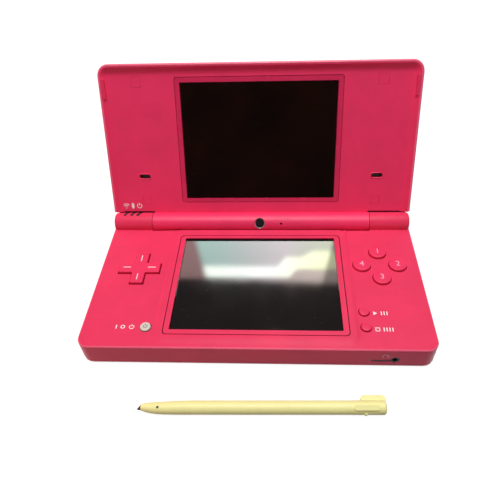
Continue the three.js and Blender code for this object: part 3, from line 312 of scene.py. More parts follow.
finishes = {
    "pink_shell": moulded("pink_shell_plastic", pink, (0.32, 0.38), specular=0.2),
    "pink_lid_lit_copy": moulded("pink_lid_lit_copy_plastic", pink_lid_lit_copy, (0.42, 0.48), specular=0.36),
    "pink_painted_highlight": moulded("pink_painted_highlight_plastic", pink_painted_highlight, (0.25, 0.32)),
    "pink_key": moulded("pink_key_plastic", key_pink, (0.28, 0.36), grain=0.00015, specular=0.2),
    "pink_border": moulded("pink_border_plastic", border_pink, (0.2, 0.3), specular=0.15),
    "pink_rubber": moulded("pink_bumper_rubber", rubber_pink, (0.55, 0.7), specular=0.3),
    "touch_glass": glass_black("touch_panel_glass", srgb(17, 10, 11), (0.08, 0.11), specular=0.08,
                               dust=0.5),
    "screen_glass": glass_black("upper_window_glass", srgb(20, 5, 2), (0.08, 0.14), specular=0.02,
                                dust=0.25, tones=(0.6, 1.6)),
    "lcd_panel": glass_black("display_panel", srgb(40, 40, 44), (0.2, 0.3), specular=0.3),
    "dark_plastic": moulded("dark_plastic", srgb(34, 28, 31), (0.45, 0.6), specular=0.3),
    "grey_rubber": moulded("keypad_silicone", srgb(112, 113, 118), (0.6, 0.75), specular=0.3),
    "green_board": circuit_board("board_solder_mask"),
    "steel": brushed("plated_steel", srgb(188, 190, 196), (0.28, 0.42)),
    "bright_ring": brushed("bright_trim", srgb(228, 186, 194), (0.36, 0.46)),
    "white_key": moulded("off_white_key_plastic", srgb(214, 206, 196), (0.35, 0.45), specular=0.4),
    "smoke_lens": moulded("smoked_lens", srgb(72, 44, 52), (0.2, 0.3), depth=0.000001, specular=0.4),
    "battery_case": brushed("battery_can", srgb(142, 144, 150), (0.35, 0.5), stretch=(1, 12, 1)),
    "flex_amber": moulded("flexible_circuit", srgb(190, 120, 48), (0.35, 0.5)),
    "cream_plastic": moulded("cream_stylus_plastic", cream, (0.38, 0.48), drift=0.03, patch=0.009,
                             specular=0.4),
    "mark_pink": moulded("pale_pink_print", mark_pink, (0.5, 0.6), specular=0.3),
    "mark_white": moulded("white_print", mark_white, (0.5, 0.6), specular=0.3),
    "film_edge": moulded("panel_film_edge", srgb(120, 114, 112), (0.3, 0.4), drift=0.6, patch=0.0006,
                         specular=0.4),
    # A dark colour for the strips in the hinge gap: painted shade.
    "gap_shadow_dark": moulded("hinge_gap_shadow", srgb(96, 8, 26), (0.55, 0.65), specular=0.05),
    "tip_dark": moulded("stylus_tip_plastic", srgb(62, 52, 50), (0.4, 0.5), specular=0.4),
    "lens_glass": glass_black("camera_lens_glass", srgb(14, 9, 12), (0.05, 0.08), specular=0.12),
}


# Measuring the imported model
def measured(node, place=Matrix.Identity(4)):
    """The lowest and highest corner of a CAD node, seen in a frame of its own."""
    back = place.inverted()
    points = [back @ vertex.co for vertex in frame["nodes"][node].data.vertices]
    return [Vector([pick(point[axis] for point in points) for axis in range(3)])
            for pick in (min, max)]


# Forms
def evenly(start, end, steps):
    """Evenly spaced values from the start to the end, with both."""
    return [start + (end - start) * step / steps for step in range(steps + 1)]


def corner_turns(start, end):
    """Angles round a corner, from one count of quarter turns to another."""
    return [quarter_turn * share for share in evenly(start, end, corner_steps)]


def loft(rings, *, open_ends=False):
    """A skin through rings with the same count of points, from the lowest to the highest."""
    form = bmesh.new()
    loops = [[form.verts.new(point) for point in ring] for ring in rings]
    for lower, upper in zip(loops, loops[1:]):
        for at, corner in enumerate(lower):
            after = (at + 1) % len(lower)
            form.faces.new((corner, lower[after], upper[after], upper[at]))
    if not open_ends:
        form.faces.new(list(reversed(loops[0])))
        form.faces.new(loops[-1])
    return form


def hoop(rings):
    """A closed band through rings, of which the last joins the first."""
    form = loft(rings + rings[:1], open_ends=True)
    bmesh.ops.remove_doubles(form, verts=form.verts[:], dist=weld_distance)
    return form


def circle(radius, height, sides=round_sides):
    turns = [2 * half_turn * at / sides for at in range(sides)]
    return [Vector((radius * math.cos(turn), radius * math.sin(turn), height)) for turn in turns]


def lathe(profile, sides=round_sides):
    """A solid turned about Z through (radius, height) points, from the bottom to the top."""
    return loft([circle(radius, height, sides) for radius, height in profile])


def rounded(left, right, front, back, corner, height):
    corners = [(right - corner, front + corner, -1), (right - corner, back - corner, 0),
               (left + corner, back - corner, 1), (left + corner, front + corner, 2)]
    ring = []
    for x, y, start in corners:
        for turn in corner_turns(start, start + 1):
            ring.append(Vector((x + corner * math.cos(turn), y + corner * math.sin(turn), height)))
    return ring


def fillet(edge):
    """Inset and drop of each ring round a rounded top edge, from its side to its top."""
    return [(edge * (1 - math.cos(turn)), edge * (1 - math.sin(turn)))
            for turn in evenly(0, quarter_turn, fillet_steps)]


def slab(low, high, corner, edge):
    """A block with rounded corners in plan and a rounded top edge."""
    base = [rounded(low.x, high.x, low.y, high.y, corner, low.z)]
    tops = [rounded(low.x + inset, high.x - inset, low.y + inset, high.y - inset,
                    max(corner - inset, weld_distance), high.z - drop) for inset, drop in fillet(edge)]
    return loft(base + tops)


def plate(points, low, high):
    """A flat plate between two heights, from points in plan."""
    return loft([[Vector((x, y, height)) for x, y in points] for height in (low, high)])


def ribbon(points, width, low, high):
    """A thin flat stroke of even width along points in plan."""
    left, right = [], []
    for at, point in enumerate(points):
        before = points[max(at - 1, 0)]
        after = points[min(at + 1, len(points) - 1)]
        along = (Vector(after) - Vector(before)).normalized()
        across = Vector((-along.y, along.x)) * width / 2
        left.append(Vector(point) + across)
        right.append(Vector(point) - across)
    return plate(right + left[::-1], low, high)


def arc(centre, radius, start, end, steps=arc_steps):
    turns = [math.radians(turn) for turn in evenly(start, end, steps)]
    return [(centre[0] + radius * math.cos(turn), centre[1] + radius * math.sin(turn))
            for turn in turns]


def smooth_step(share):
    return share * share * (3 - 2 * share)


def outline_path(left, right, front, back, corner):
    """Points and outward directions from the back left, round the front, to the back right."""
    stations = [(Vector((left, back)), Vector((-1, 0)))]
    for x, y, start in ((left + corner, front + corner, 2), (right - corner, front + corner, 3)):
        for turn in corner_turns(start, start + 1):
            outward = Vector((math.cos(turn), math.sin(turn)))
            stations.append((Vector((x, y)) + outward * corner, outward))
    stations.append((Vector((right, back)), Vector((1, 0))))
    return stations


def swept(path, section, flip=1):
    """A bar along a path, its section given as (reach outward, height); flip turns Y round."""
    rings = []
    for point, outward in path:
        reached = [(point + outward * reach, height) for reach, height in section]
        rings.append([Vector((place.x, flip * place.y, height)) for place, height in reached])
    return loft(rings)


def at_height(height):
    """Chooses the edges that lie level at this height."""
    return lambda line: all(abs(corner.co.z - height) < plane_reach for corner in line.verts)


def softened(node, edge, chosen=None):
    """A CAD node's own form, with its flat faces whole and its sharp edges slightly rounded."""
    source = frame["nodes"][node].data
    form = bmesh.new()
    corners = [form.verts.new(vertex.co) for vertex in source.vertices]
    for face in source.polygons:
        form.faces.new([corners[index] for index in face.vertices])
    bmesh.ops.remove_doubles(form, verts=form.verts[:], dist=weld_distance)
    bmesh.ops.dissolve_limit(form, angle_limit=flat_angle, verts=form.verts[:], edges=form.edges[:])
    creases = [line for line in form.edges
               if len(line.link_faces) == 2 and line.calc_face_angle() > crease_angle
               and (chosen is None or chosen(line))]
    if edge:
        bmesh.ops.bevel(form, geom=creases, offset=edge, segments=bevel_steps, profile=0.5,
                        affect="EDGES", clamp_overlap=False)
    return form


def moved(form, x, y, z=0):
    form.transform(Matrix.Translation((x, y, z)))
    return form


def placed(forms, x, y, z):
    return [moved(form, x, y, z) for form in forms]


# Pieces
def in_scene(name, data):
    made = bpy.data.objects.new(name, data)
    bpy.context.scene.collection.objects.link(made)
    return made


def piece(name, forms, body, finish, *, place=Matrix.Identity(4), replaces=()):
    """One object from its forms, riding on a body of the model."""
    whole = bmesh.new()
    for form in forms if isinstance(forms, list) else [forms]:
        part = bpy.data.meshes.new(name)
        form.to_mesh(part)
        form.free()
        whole.from_mesh(part)
        bpy.data.meshes.remove(part)
    whole.transform(place)
    bmesh.ops.recalc_face_normals(whole, faces=whole.faces[:])
    mesh = bpy.data.meshes.new(name)
    whole.to_mesh(mesh)
    whole.free()
    mesh.polygons.foreach_set("use_smooth", [True] * len(mesh.polygons))
    mesh.set_sharp_from_angle(angle=smooth_angle)
    mesh.materials.append(finishes[finish])
    made = in_scene(name, mesh)
    weighted = made.modifiers.new("even_normals", "WEIGHTED_NORMAL")
    weighted.keep_sharp = True
    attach(made, body)
    if replaces:
        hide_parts(*replaces)


def skin(node, body, finish, edge=fine_edge, chosen=None):
    piece(f"{node}_skin", softened(node, edge, chosen), body, finish, replaces=[node])


def drawn_in(node, amount, place=Matrix.Identity(4), edge=0):
    """A CAD node's own form, drawn in on every side in plan, to open or narrow the gap round it."""
    form = softened(node, edge)
    form.transform(place.inverted())
    low, high = measured(node, place)
    middle = (low + high) / 2
    half = (high - low) / 2
    for corner in form.verts:
        corner.co.x = middle.x + (corner.co.x - middle.x) * (1 - amount / half.x)
        corner.co.y = middle.y + (corner.co.y - middle.y) * (1 - amount / half.y)
    form.transform(place)
    return form


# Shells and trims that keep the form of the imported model
hole_edge = 0.00018
bezel_gap = 0.00019
plug_edge = 0.00006
plug_growth = 0.00006
border_gap = 0.00008
bumper_edge = 0.0003
face_height = 0.0117
plateau_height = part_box("touch_screen_bezel")[1].z
lid_face_height = measured("lid_screw_plug_1", lid_place)[1].z
lid_low, lid_high = measured("lid_inner_shell", lid_place)
lid_rim_height = 0.00055
slope_rim_inset = Vector((0.0012, 0.0013))
slope_floor_inset = Vector((0.0042, 0.004))
slope_corner = 0.0036
cove_shift = Vector((0.0027, 0.0024))


def coved_lid():
    """The lid's inner shell, with the slope inside its rim drawn up, to make room for lid_slope."""
    form = softened("lid_inner_shell", 0)
    form.transform(lid_place.inverted())
    floor_x = lid_high.x - slope_floor_inset.x
    floor_u = lid_high.y - slope_floor_inset.y
    drop = lid_rim_height - lid_face_height
    run = slope_floor_inset.x - slope_rim_inset.x
    for corner in form.verts:
        x, u, n = corner.co
        inset = lid_high.x - abs(x)
        on_slope = lid_rim_height - (inset - slope_rim_inset.x) * drop / run
        at_corner = abs(x) > floor_x - slope_corner - plane_reach and (
            u > floor_u - slope_corner - plane_reach)
        if abs(n - lid_face_height) < plane_reach:
            if abs(x) > floor_x - plane_reach or at_corner:
                corner.co.x += math.copysign(cove_shift.x, x)
            if u > floor_u - plane_reach or at_corner:
                corner.co.y += cove_shift.y
        elif slope_rim_inset.x + plane_reach < inset < slope_floor_inset.x and (
                abs(n - on_slope) < plane_reach):
            steeper = (inset - slope_rim_inset.x) * drop / (run - cove_shift.x)
            corner.co.z = max(lid_face_height, lid_rim_height - steeper)
    form.transform(lid_place)
    return form


def shells():
    skin("lower_face_shell", "lower_case", "pink_shell", edge=hole_edge, chosen=at_height(face_height))
    for node in ("bottom_cover", "battery_cover"):
        skin(node, "lower_case", "pink_shell", edge=0)
    piece("touch_screen_bezel_frame", drawn_in("touch_screen_bezel", bezel_gap), "lower_case",
          "pink_shell", replaces=["touch_screen_bezel"])
    piece("lid_inner_shell_skin", coved_lid(), "lid", "pink_lid_lit_copy",
          replaces=["lid_inner_shell"])
    skin("lid_outer_shell", "lid", "pink_lid_lit_copy", edge=0)
    for number in range(1, 5):
        plug = f"lid_screw_plug_{number}"
        piece(f"{plug}_skin", drawn_in(plug, -plug_growth, lid_place, plug_edge), "lid", "pink_lid_lit_copy",
              replaces=[plug])
    for side in ("left", "right"):
        skin(f"lid_bumper_{side}", "lid", "pink_rubber", edge=bumper_edge)
        skin(f"shoulder_button_{side}", f"shoulder_button_{side}", "pink_key", edge=soft_edge)
    for way in ("up", "down"):
        skin(f"volume_{way}_button", f"volume_{way}_button", "pink_key", edge=soft_edge)
    skin("sd_cover", "sd_cover", "pink_shell", edge=soft_edge)
    piece("upper_screen_border_frame", drawn_in("upper_screen_border", border_gap, lid_place), "lid",
          "pink_border", replaces=["upper_screen_border"])
    for number in range(1, 4):
        skin(f"status_light_guide_{number}", "lower_case", "smoke_lens", edge=0)
    for number in range(1, 5):
        skin(f"case_screw_{number}", "lower_case", "steel", edge=0)
    skin("battery_cover_screw", "lower_case", "steel", edge=0)


# The fine rounded line that runs round the lid's edge, in a lighter pink: partly real gloss, partly a
# painted highlight
rim_inset = 0.0006
rim_half_width = 0.0007
rim_foot = -0.0001
rim_top = 0.00068
rim_steps = 8
shell_corner = 0.0048
lid_start = 0.0053


def lid_rim():
    path = outline_path(lid_low.x + rim_inset, lid_high.x - rim_inset, -lid_high.y + rim_inset,
                        -lid_start, shell_corner - rim_inset)
    section = [(rim_half_width * math.cos(turn), rim_foot + (rim_top - rim_foot) * math.sin(turn))
               for turn in evenly(0, half_turn, rim_steps)]
    piece("lid_rim_line", swept(path, section, -1), "lid", "pink_painted_highlight", place=lid_place)


# The slope inside the lid's rim, which runs out softly into the flat face
lid_slope_inset = 0.00122
lid_slope_corner = 0.0036
lid_slope_straight = 0.0015
lid_slope_reach = 0.0032
lid_slope_start = 0.0050
lid_slope_steps = 12
lid_slope_lift = 0.000012
slope_sink = 0.0002


def lid_slope():
    path = outline_path(lid_low.x + lid_slope_inset, lid_high.x - lid_slope_inset,
                        -lid_high.y + lid_slope_inset, -lid_slope_start, lid_slope_corner)
    tail = lid_slope_reach - lid_slope_straight
    steepness = (lid_rim_height - lid_face_height) / (lid_slope_straight + tail / 2)
    section = []
    for way in evenly(0, lid_slope_reach, lid_slope_steps):
        bend = max(0, way - lid_slope_straight)
        fall = steepness * (way - bend ** 2 / (2 * tail))
        section.append((-way, lid_rim_height - fall + lid_slope_lift))
    section += [(-lid_slope_reach, lid_face_height - slope_sink), (0, lid_face_height - slope_sink)]
    piece("lid_slope", swept(path, section, -1), "lid", "pink_lid_lit_copy", place=lid_place)


# The soft slope from the raised screen surround down to the face
plateau_half_width = 0.0386
plateau_front = -0.033
plateau_back = 0.0277
plateau_corner = 0.003
slope_inset = 0.0003
slope_side_reach = 0.0017
slope_front_reach = 0.0038
slope_lift = 0.000008
slope_steps = 8


def plateau_slope():
    path = outline_path(-plateau_half_width + slope_inset, plateau_half_width - slope_inset,
                        plateau_front + slope_inset, plateau_back, plateau_corner)
    longer = slope_front_reach - slope_side_reach
    path = [(point, outward * (slope_side_reach + longer * max(0, -outward.y) ** 2))
            for point, outward in path]
    section = []
    for share in evenly(0, 1, slope_steps):
        fall = (plateau_height - face_height) * smooth_step(share)
        section.append((share, plateau_height - fall + slope_lift))
    section += [(1, face_height - slope_sink), (0, face_height - slope_sink)]
    piece("plateau_slope", swept(path, section), "lower_case", "pink_shell")


# A band along the rounded edge of the lower face, smoother and in a lighter pink: the lighter colour
# is a painted highlight
band_inset = 0.0008
band_radius = 0.00084
band_turns = (math.radians(18), math.radians(66))
band_steps = 6


def face_edge_band():
    low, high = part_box("lower_face_shell")
    path = outline_path(low.x + band_inset, high.x - band_inset, low.y + band_inset, plateau_back,
                        shell_corner - band_inset)
    base = face_height - band_inset
    section = [(0, base)] + [(band_radius * math.cos(turn), base + band_radius * math.sin(turn))
                             for turn in evenly(*band_turns, band_steps)]
    piece("face_edge_band", swept(path, section), "lower_case", "pink_painted_highlight")


# Strips along the lid's lower edge that close the gap over each knuckle; their dark colour is painted
# shade, standing for the shadow in that gap
lip_ends = (0.04985, 0.0672)
lip_radius = 0.00472
lip_front = -0.00083
lip_back = -0.0026
lip_top = 0.00528
lip_steps = 6


def hinge_lips():
    section = [(math.sqrt(lip_radius ** 2 - height ** 2), height)
               for height in evenly(lip_front, lip_back, lip_steps)]
    section += [(lip_top, lip_back), (lip_top, lip_front)]
    for side, name in ((-1, "left"), (1, "right")):
        rings = [[Vector((side * x, u, n)) for u, n in section] for x in lip_ends]
        piece(f"hinge_gap_shadow_{name}", loft(rings), "lid", "gap_shadow_dark", place=lid_place)


# The dark face of the headphone jack in its round hole, and the dark floor of its slot
jack_x = 0.0526
jack_z = 0.0054
jack_radius = 0.0017
jack_bore = 0.0010
mouth_back = 0.00012
mouth_depth = 0.0016
slot_low = Vector((0.04395, 0.00425))
slot_high = Vector((0.0512, 0.00535))


def front_wall(x=0, z=0):
    """A frame on the front wall, with X to the right, Y up and Z out of the wall."""
    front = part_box("lower_face_shell")[0].y
    return Matrix.Translation((x, front, z)) @ Matrix.Rotation(quarter_turn, 4, "X")


def jack_mouth():
    profile = [(jack_bore, -mouth_depth), (jack_radius, -mouth_depth), (jack_radius, -mouth_back),
               (jack_bore, -mouth_back)]
    ring = hoop([circle(radius, height, small_sides) for radius, height in profile])
    floor_plate = plate([slot_low, (slot_high.x, slot_low.y), slot_high, (slot_low.x, slot_high.y)],
                        -mouth_depth, -mouth_back)
    piece("headphone_jack_face", [moved(ring, jack_x, jack_z), floor_plate], "lower_case",
          "dark_plastic", place=front_wall())


# The fine raised lip round each speaker slot
speaker_x = 0.0526
speaker_u = 0.0217
speaker_slot = Vector((0.0052, 0.002))
speaker_rim_width = 0.0004
speaker_rim_rise = 0.00022
mark_sink = 0.00005


def speaker_rims():
    shoulder = speaker_rim_rise / 2
    section = ((0, -mark_sink), (0, shoulder), (speaker_rim_width / 2, speaker_rim_rise),
               (speaker_rim_width, shoulder), (speaker_rim_width, -mark_sink))
    for side, name in ((-1, "left"), (1, "right")):
        middle = Vector((side * speaker_x, speaker_u))
        low = middle - speaker_slot / 2
        high = middle + speaker_slot / 2
        form = hoop([rounded(low.x - grow, high.x + grow, low.y - grow, high.y + grow,
                             speaker_slot.y / 2 + grow - weld_distance, lid_face_height + rise)
                     for grow, rise in section])
        piece(f"speaker_rim_{name}", form, "lid", "pink_lid_lit_copy", place=lid_place)


# The camera and its ring in the hinge barrel
ring_outer = 0.0023
ring_inner = 0.00196
ring_rise = 0.00002
lens_radius = 0.0019
lens_drop = 0.0004
eye_depth = 0.0018


def barrel_place(node):
    """A frame at a round part of the barrel, with Z pointing straight out of it."""
    low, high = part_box(node)
    middle = (low + high) / 2
    out = Vector((0, middle.y - hinge_point.y, middle.z - hinge_point.z))
    turn = math.atan2(-out.y, out.z)
    return Matrix.Translation((middle.x, hinge_point.y, hinge_point.z)) @ Matrix.Rotation(turn, 4, "X")


def wrapped(form, reach):
    """Bends a form that is flat at this height, so that it follows a barrel of this radius along X."""
    for corner in form.verts:
        corner.co.z -= reach - math.sqrt(reach ** 2 - corner.co.y ** 2)
    return form


def inner_eye():
    place = barrel_place("inner_camera_ring")
    top = measured("inner_camera_ring", place)[1].z
    low = top - eye_depth
    profile = [(ring_inner, low), (ring_outer, low), (ring_outer, top + ring_rise),
               (ring_inner, top - lens_drop)]
    ring = hoop([circle(radius, height) for radius, height in profile])
    piece("inner_camera_trim", wrapped(ring, top), "lid", "bright_ring", place=place,
          replaces=["inner_camera_ring"])
    disc = lathe([(lens_radius, low), (lens_radius, top - lens_drop - fine_edge),
                  (lens_radius - fine_edge, top - lens_drop)])
    piece("inner_camera_window", wrapped(disc, top), "lid", "lens_glass", place=place)


# Printed signs
sign_line = 0.00034
sign_rise = 0.00002
sign_sink = 0.00006
sign_height = 0.0018
wave_radii = (0.0012, 0.002)
wave_foot = -0.0011
wave_span = (45, 135)
wave_dot_share = 0.7
ring_radius = 0.00105
ring_span = (125, 415)
stem = (0.0002, 0.0014)
drop_half = Vector((0.0007, 0.0014))
triangle_foot_share = -0.8
triangle_tip_share = 0.9
bar_width_share = 1.2
bar_pitch = 0.0011
nought_steps = 24
printed_share = 0.85
key_sign_share = 0.7


def stroke(points, width=sign_line):
    return ribbon(points, width, -sign_sink, sign_rise)


def wave_sign():
    """Two waves over a point, for the radio."""
    point_radius = sign_line * wave_dot_share
    point = lathe([(point_radius, -sign_sink), (point_radius, sign_rise)], small_sides)
    waves = [stroke(arc((0, wave_foot), radius, *wave_span)) for radius in wave_radii]
    return waves + [moved(point, 0, wave_foot)]


def drop_sign():
    """A filled drop, for the charge."""
    outline = [(drop_half.x * point.x, drop_half.y * point.y) for point in circle(1, 0, small_sides)]
    return [plate(outline, -sign_sink, sign_rise)]


def power_sign(share=1):
    """An open ring with a stem, for the power."""
    width = sign_line * share
    return [stroke(arc((0, 0), ring_radius * share, *ring_span), width),
            stroke([(0, end * share) for end in stem], width)]


def triangle_sign():
    half = sign_height / 2
    foot = half * triangle_foot_share
    outline = [(foot, -half), (half * triangle_tip_share, 0), (foot, half)]
    return [plate(outline, -sign_sink, sign_rise)]


def bars_sign(count):
    half = sign_height / 2
    return [stroke([(bar_pitch * at, -half), (bar_pitch * at, half)], sign_line * bar_width_share)
            for at in range(count)]


def square_sign():
    ends = sign_height / 2
    half = ends - sign_line / 2
    return [stroke([(-ends, side * half), (ends, side * half)]) for side in (-1, 1)] + [
        stroke([(side * half, -half), (side * half, half)]) for side in (-1, 1)]


def nought_sign():
    return [stroke(arc((0, 0), sign_height / 2 - sign_line / 2, 0, 360, nought_steps))]


icon_u = 0.0079
icon_x = (-0.0630, -0.0598, -0.0567)
start_sign = Vector((0.0466, -0.0202))
select_sign = Vector((0.0466, -0.0280))
sign_step = 0.0024
power_sign_x = (-0.0545, -0.0519, -0.0484)
power_sign_y = -0.0279
jack_sign = Vector((0.0488, 0.0076))
jack_sign_radius = 0.0011
jack_sign_span = (-50, 230)


def signs():
    forms = []
    for x, sign in zip(icon_x, (wave_sign(), drop_sign(), power_sign())):
        forms += placed(sign, x, icon_u, lid_face_height)
    piece("status_signs", forms, "lid", "mark_white", place=lid_place)
    for name, at, shape, bars in (("start_sign", start_sign, triangle_sign(), 3),
                                  ("select_sign", select_sign, square_sign(), 4)):
        forms = placed(shape, at.x, at.y, face_height)
        forms += placed(bars_sign(bars), at.x + sign_step, at.y, face_height)
        piece(name, forms, "lower_case", "mark_white")
    forms = []
    for x, sign in zip(power_sign_x, (bars_sign(1), nought_sign(), power_sign(printed_share))):
        forms += placed(sign, x, power_sign_y, face_height)
    piece("power_sign", forms, "lower_case", "mark_white")
    piece("headphone_sign", stroke(arc((0, 0), jack_sign_radius, *jack_sign_span)), "lower_case",
          "mark_pink", place=front_wall(jack_sign.x, jack_sign.y))


# Keys
key_edge = 0.00035
key_crown = 0.00008
key_lip = 0.00055
crown_shares = (0.75, 0.5, 0.25, 0.05)
flange_thickness = 0.0007
numeral_size = 0.0040
numeral_thinner = 0.00003


def numeral(text):
    """A plain number as a thin upright solid, its middle at the origin."""
    curve = bpy.data.curves.new("numeral", "FONT")
    curve.body = text
    curve.size = numeral_size
    curve.extrude = mark_sink / 2
    curve.offset = -numeral_thinner
    curve.align_x = "CENTER"
    curve.align_y = "CENTER"
    holder = in_scene("numeral", curve)
    bpy.context.view_layer.update()
    mesh = bpy.data.meshes.new_from_object(holder)
    form = bmesh.new()
    form.from_mesh(mesh)
    bpy.data.objects.remove(holder)
    bpy.data.curves.remove(curve)
    bpy.data.meshes.remove(mesh)
    return form


def round_key(node, finish):
    low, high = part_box(node)
    middle = (low + high) / 2
    lip = high.x - middle.x
    radius = lip - key_lip
    top = high.z - key_crown
    flange = lathe([(lip, low.z), (lip, low.z + flange_thickness)], small_sides)
    body = [(radius, low.z)] + [(radius - inset, top - drop) for inset, drop in fillet(key_edge)]
    crown = [((radius - key_edge) * share, top + key_crown * (1 - share ** 2))
             for share in crown_shares]
    piece(f"{node}_cap", placed([flange, lathe(body + crown)], middle.x, middle.y, 0), node, finish,
          replaces=[node])
    return middle.x, middle.y, high.z


def face_keys():
    for number in range(1, 5):
        key = f"face_button_{number}"
        top = round_key(key, "pink_key")
        piece(f"{key}_mark", moved(numeral(str(number)), *top), key, "mark_pink")
    round_key("start_button", "pink_key")
    round_key("select_button", "pink_key")
    top = round_key("power_button", "white_key")
    piece("power_button_sign", placed(power_sign(key_sign_share), *top), "power_button", "film_edge")


# Direction pad
pad_span = 0.0176
pad_arm = 0.0055
pad_outer_corner = 0.0007
pad_inner_corner = 0.0004
pad_edge = 0.0004
pad_dish = 0.00018
dish_shares = (1, 0.8, 0.6, 0.4, 0.2, 0.02)
pad_flange_thickness = 0.0006
pad_mark_start = 0.00375
pad_mark_end = 0.0071
pad_mark_width = 0.00035
mark_rise = 0.00002


def cross_ring(inset, height):
    """The outline of the cross, drawn in by the inset."""
    far = pad_span / 2 - inset
    near = pad_arm / 2 - inset
    outer = pad_outer_corner - inset / 2
    inner = pad_inner_corner + inset
    bends = [(far - outer, -near + outer, outer, -1, 0), (far - outer, near - outer, outer, 0, 1),
             (near + inner, near + inner, inner, 3, 2)]
    ring = []
    for turn in range(4):
        spin = Matrix.Rotation(turn * quarter_turn, 3, "Z")
        for x, y, radius, start, end in bends:
            for angle in corner_turns(start, end):
                place = Vector((x + radius * math.cos(angle), y + radius * math.sin(angle), height))
                ring.append(spin @ place)
    return ring


def direction_pad():
    low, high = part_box("dpad")
    middle = (low + high) / 2
    flange_radius = (high.x - low.x) / 2
    rings = [cross_ring(0, low.z)]
    rings += [cross_ring(inset, high.z - drop) for inset, drop in fillet(pad_edge)]
    dish = loft([[Vector((point.x * share, point.y * share, high.z - pad_dish * (1 - share ** 2)))
                  for point in rings[-1]] for share in dish_shares])
    flange = lathe([(flange_radius, low.z), (flange_radius, low.z + pad_flange_thickness)])
    forms = placed([loft(rings, open_ends=True), dish, flange], middle.x, middle.y, 0)
    piece("dpad_cap", forms, "dpad", "pink_key", replaces=["dpad"])
    bars = []
    for turn in range(4):
        bar = ribbon([(pad_mark_start, 0), (pad_mark_end, 0)], pad_mark_width,
                     high.z - pad_dish, high.z + mark_rise)
        bar.transform(Matrix.Rotation(turn * quarter_turn, 4, "Z"))
        bars.append(moved(bar, middle.x, middle.y))
    piece("dpad_marks", bars, "dpad", "mark_white")


# Screens, and the edges of the film under the touch panel
panel_corner = 0.0011
panel_edge = 0.00025
window_corner = 0.0002
window_round = 0.00015
film_x = 0.03365
film_width = 0.00035
film_height = 0.00003
film_back = 0.0215
film_fronts = (-0.012, -0.008)


def screens():
    low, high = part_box("touch_panel")
    piece("touch_panel_sheet", slab(low, high, panel_corner, panel_edge), "lower_case", "touch_glass",
          replaces=["touch_panel"])
    strips = [ribbon([(x, front), (x, film_back)], film_width, high.z - film_height,
                     high.z + film_height) for x, front in zip((-film_x, film_x), film_fronts)]
    piece("panel_film_edges", strips, "lower_case", "film_edge")
    glass = measured("upper_screen_glass", lid_place)
    piece("upper_window", slab(*glass, window_corner, window_round), "lid", "screen_glass",
          place=lid_place, replaces=["upper_screen_glass"])


# The stylus, in its own frame: +X from the point to the end, Y aside and Z up.
# Its body and point are turned forms through stations of (x, radius, place aside).
stylus_turn = math.radians(1.1)
stylus_sides = 48
stylus_radius = 0.0025
stylus_body = ((-0.0432, 0.00050, 0.00012), (-0.0432, 0.00114, 0.00012), (-0.0416, 0.00160, 0.00002),
               (-0.0398, 0.00191, -0.00010), (-0.0373, 0.00213, -0.00018),
               (-0.0342, 0.00228, -0.00018), (-0.0305, 0.00244, -0.00006), (-0.0249, 0.0025, 0),
               (0.0326, 0.0025, 0), (0.0330, 0.00255, 0), (0.0438, 0.00255, 0), (0.0443, 0.0024, 0),
               (0.0446, 0.0020, 0), (0.0446, 0.0005, 0))
stylus_point = ((-0.0430, 0.00098, 0.0001), (-0.0434, 0.00098, 0.00005), (-0.0440, 0.0006, -0.00035),
                (-0.0446, 0.00015, -0.00066))
rib_low = Vector((0.0330, -0.0010))
rib_high = Vector((0.0421, 0.0010))
rib_rise = 0.00035
rib_edge = 0.0001
rib_turn = math.radians(62)
nub_x = 0.0373
nub_radius = 0.0007
nub_rise = 0.0005
nub_side_share = 0.9
nub_top_share = 0.4
nub_turn = math.radians(-2)
dot_x = -0.0368
dot_radius = 0.00045
dot_reach = 0.00225
dot_turn = math.radians(66)
flag_low = Vector((0.0358, 0.0006))
flag_high = Vector((0.0449, 0.0045))
flag_half_thickness = 0.00095
flag_corner = 0.0015


def stylus_form(stations):
    rings = []
    for x, radius, aside in stations:
        ring = circle(radius, 0, stylus_sides)
        rings.append([Vector((x, point.x + aside, point.y)) for point in ring])
    return loft(rings)


def level_slab(low, high, half_thickness, corner):
    """A slab as thick above the level of its frame as below."""
    return slab(Vector((*low, -half_thickness)), Vector((*high, half_thickness)), corner, rib_edge)


def turned_out(form, x, turn, reach):
    """Sets a form made along Z at this reach from the stylus axis, turned up from its front."""
    lean = Matrix.Rotation(quarter_turn - turn, 4, "X")
    form.transform(Matrix.Translation((x, 0, 0)) @ lean @ Matrix.Translation((0, 0, reach)))
    return form


def stylus():
    low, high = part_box("stylus_barrel")
    tip_low, tip_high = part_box("stylus_tip")
    middle = Vector(((tip_low.x + high.x) / 2, (tip_low.y + tip_high.y) / 2, low.z + stylus_radius))
    middle.y += math.sin(stylus_turn) * (middle.x - tip_low.x)
    place = Matrix.Translation(middle) @ Matrix.Rotation(stylus_turn, 4, "Z")
    rib = level_slab(rib_low, rib_high, rib_rise, rib_high.y - rib_edge)
    nub = lathe([(nub_radius, -nub_rise), (nub_radius * nub_side_share, nub_rise / 2),
                 (nub_radius * nub_top_share, nub_rise)], small_sides)
    forms = [stylus_form(stylus_body), turned_out(rib, 0, rib_turn, stylus_radius),
             turned_out(nub, nub_x, nub_turn, stylus_radius),
             level_slab(flag_low, flag_high, flag_half_thickness, flag_corner)]
    piece("stylus_body", forms, "stylus", "cream_plastic", place=place, replaces=["stylus_barrel"])
    piece("stylus_point", stylus_form(stylus_point), "stylus", "tip_dark",
          place=place, replaces=["stylus_tip"])
    dot = lathe([(dot_radius, -nub_rise), (dot_radius, 0)], small_sides)
    piece("stylus_dot", turned_out(dot, dot_x, dot_turn, dot_reach), "stylus", "tip_dark",
          place=place)


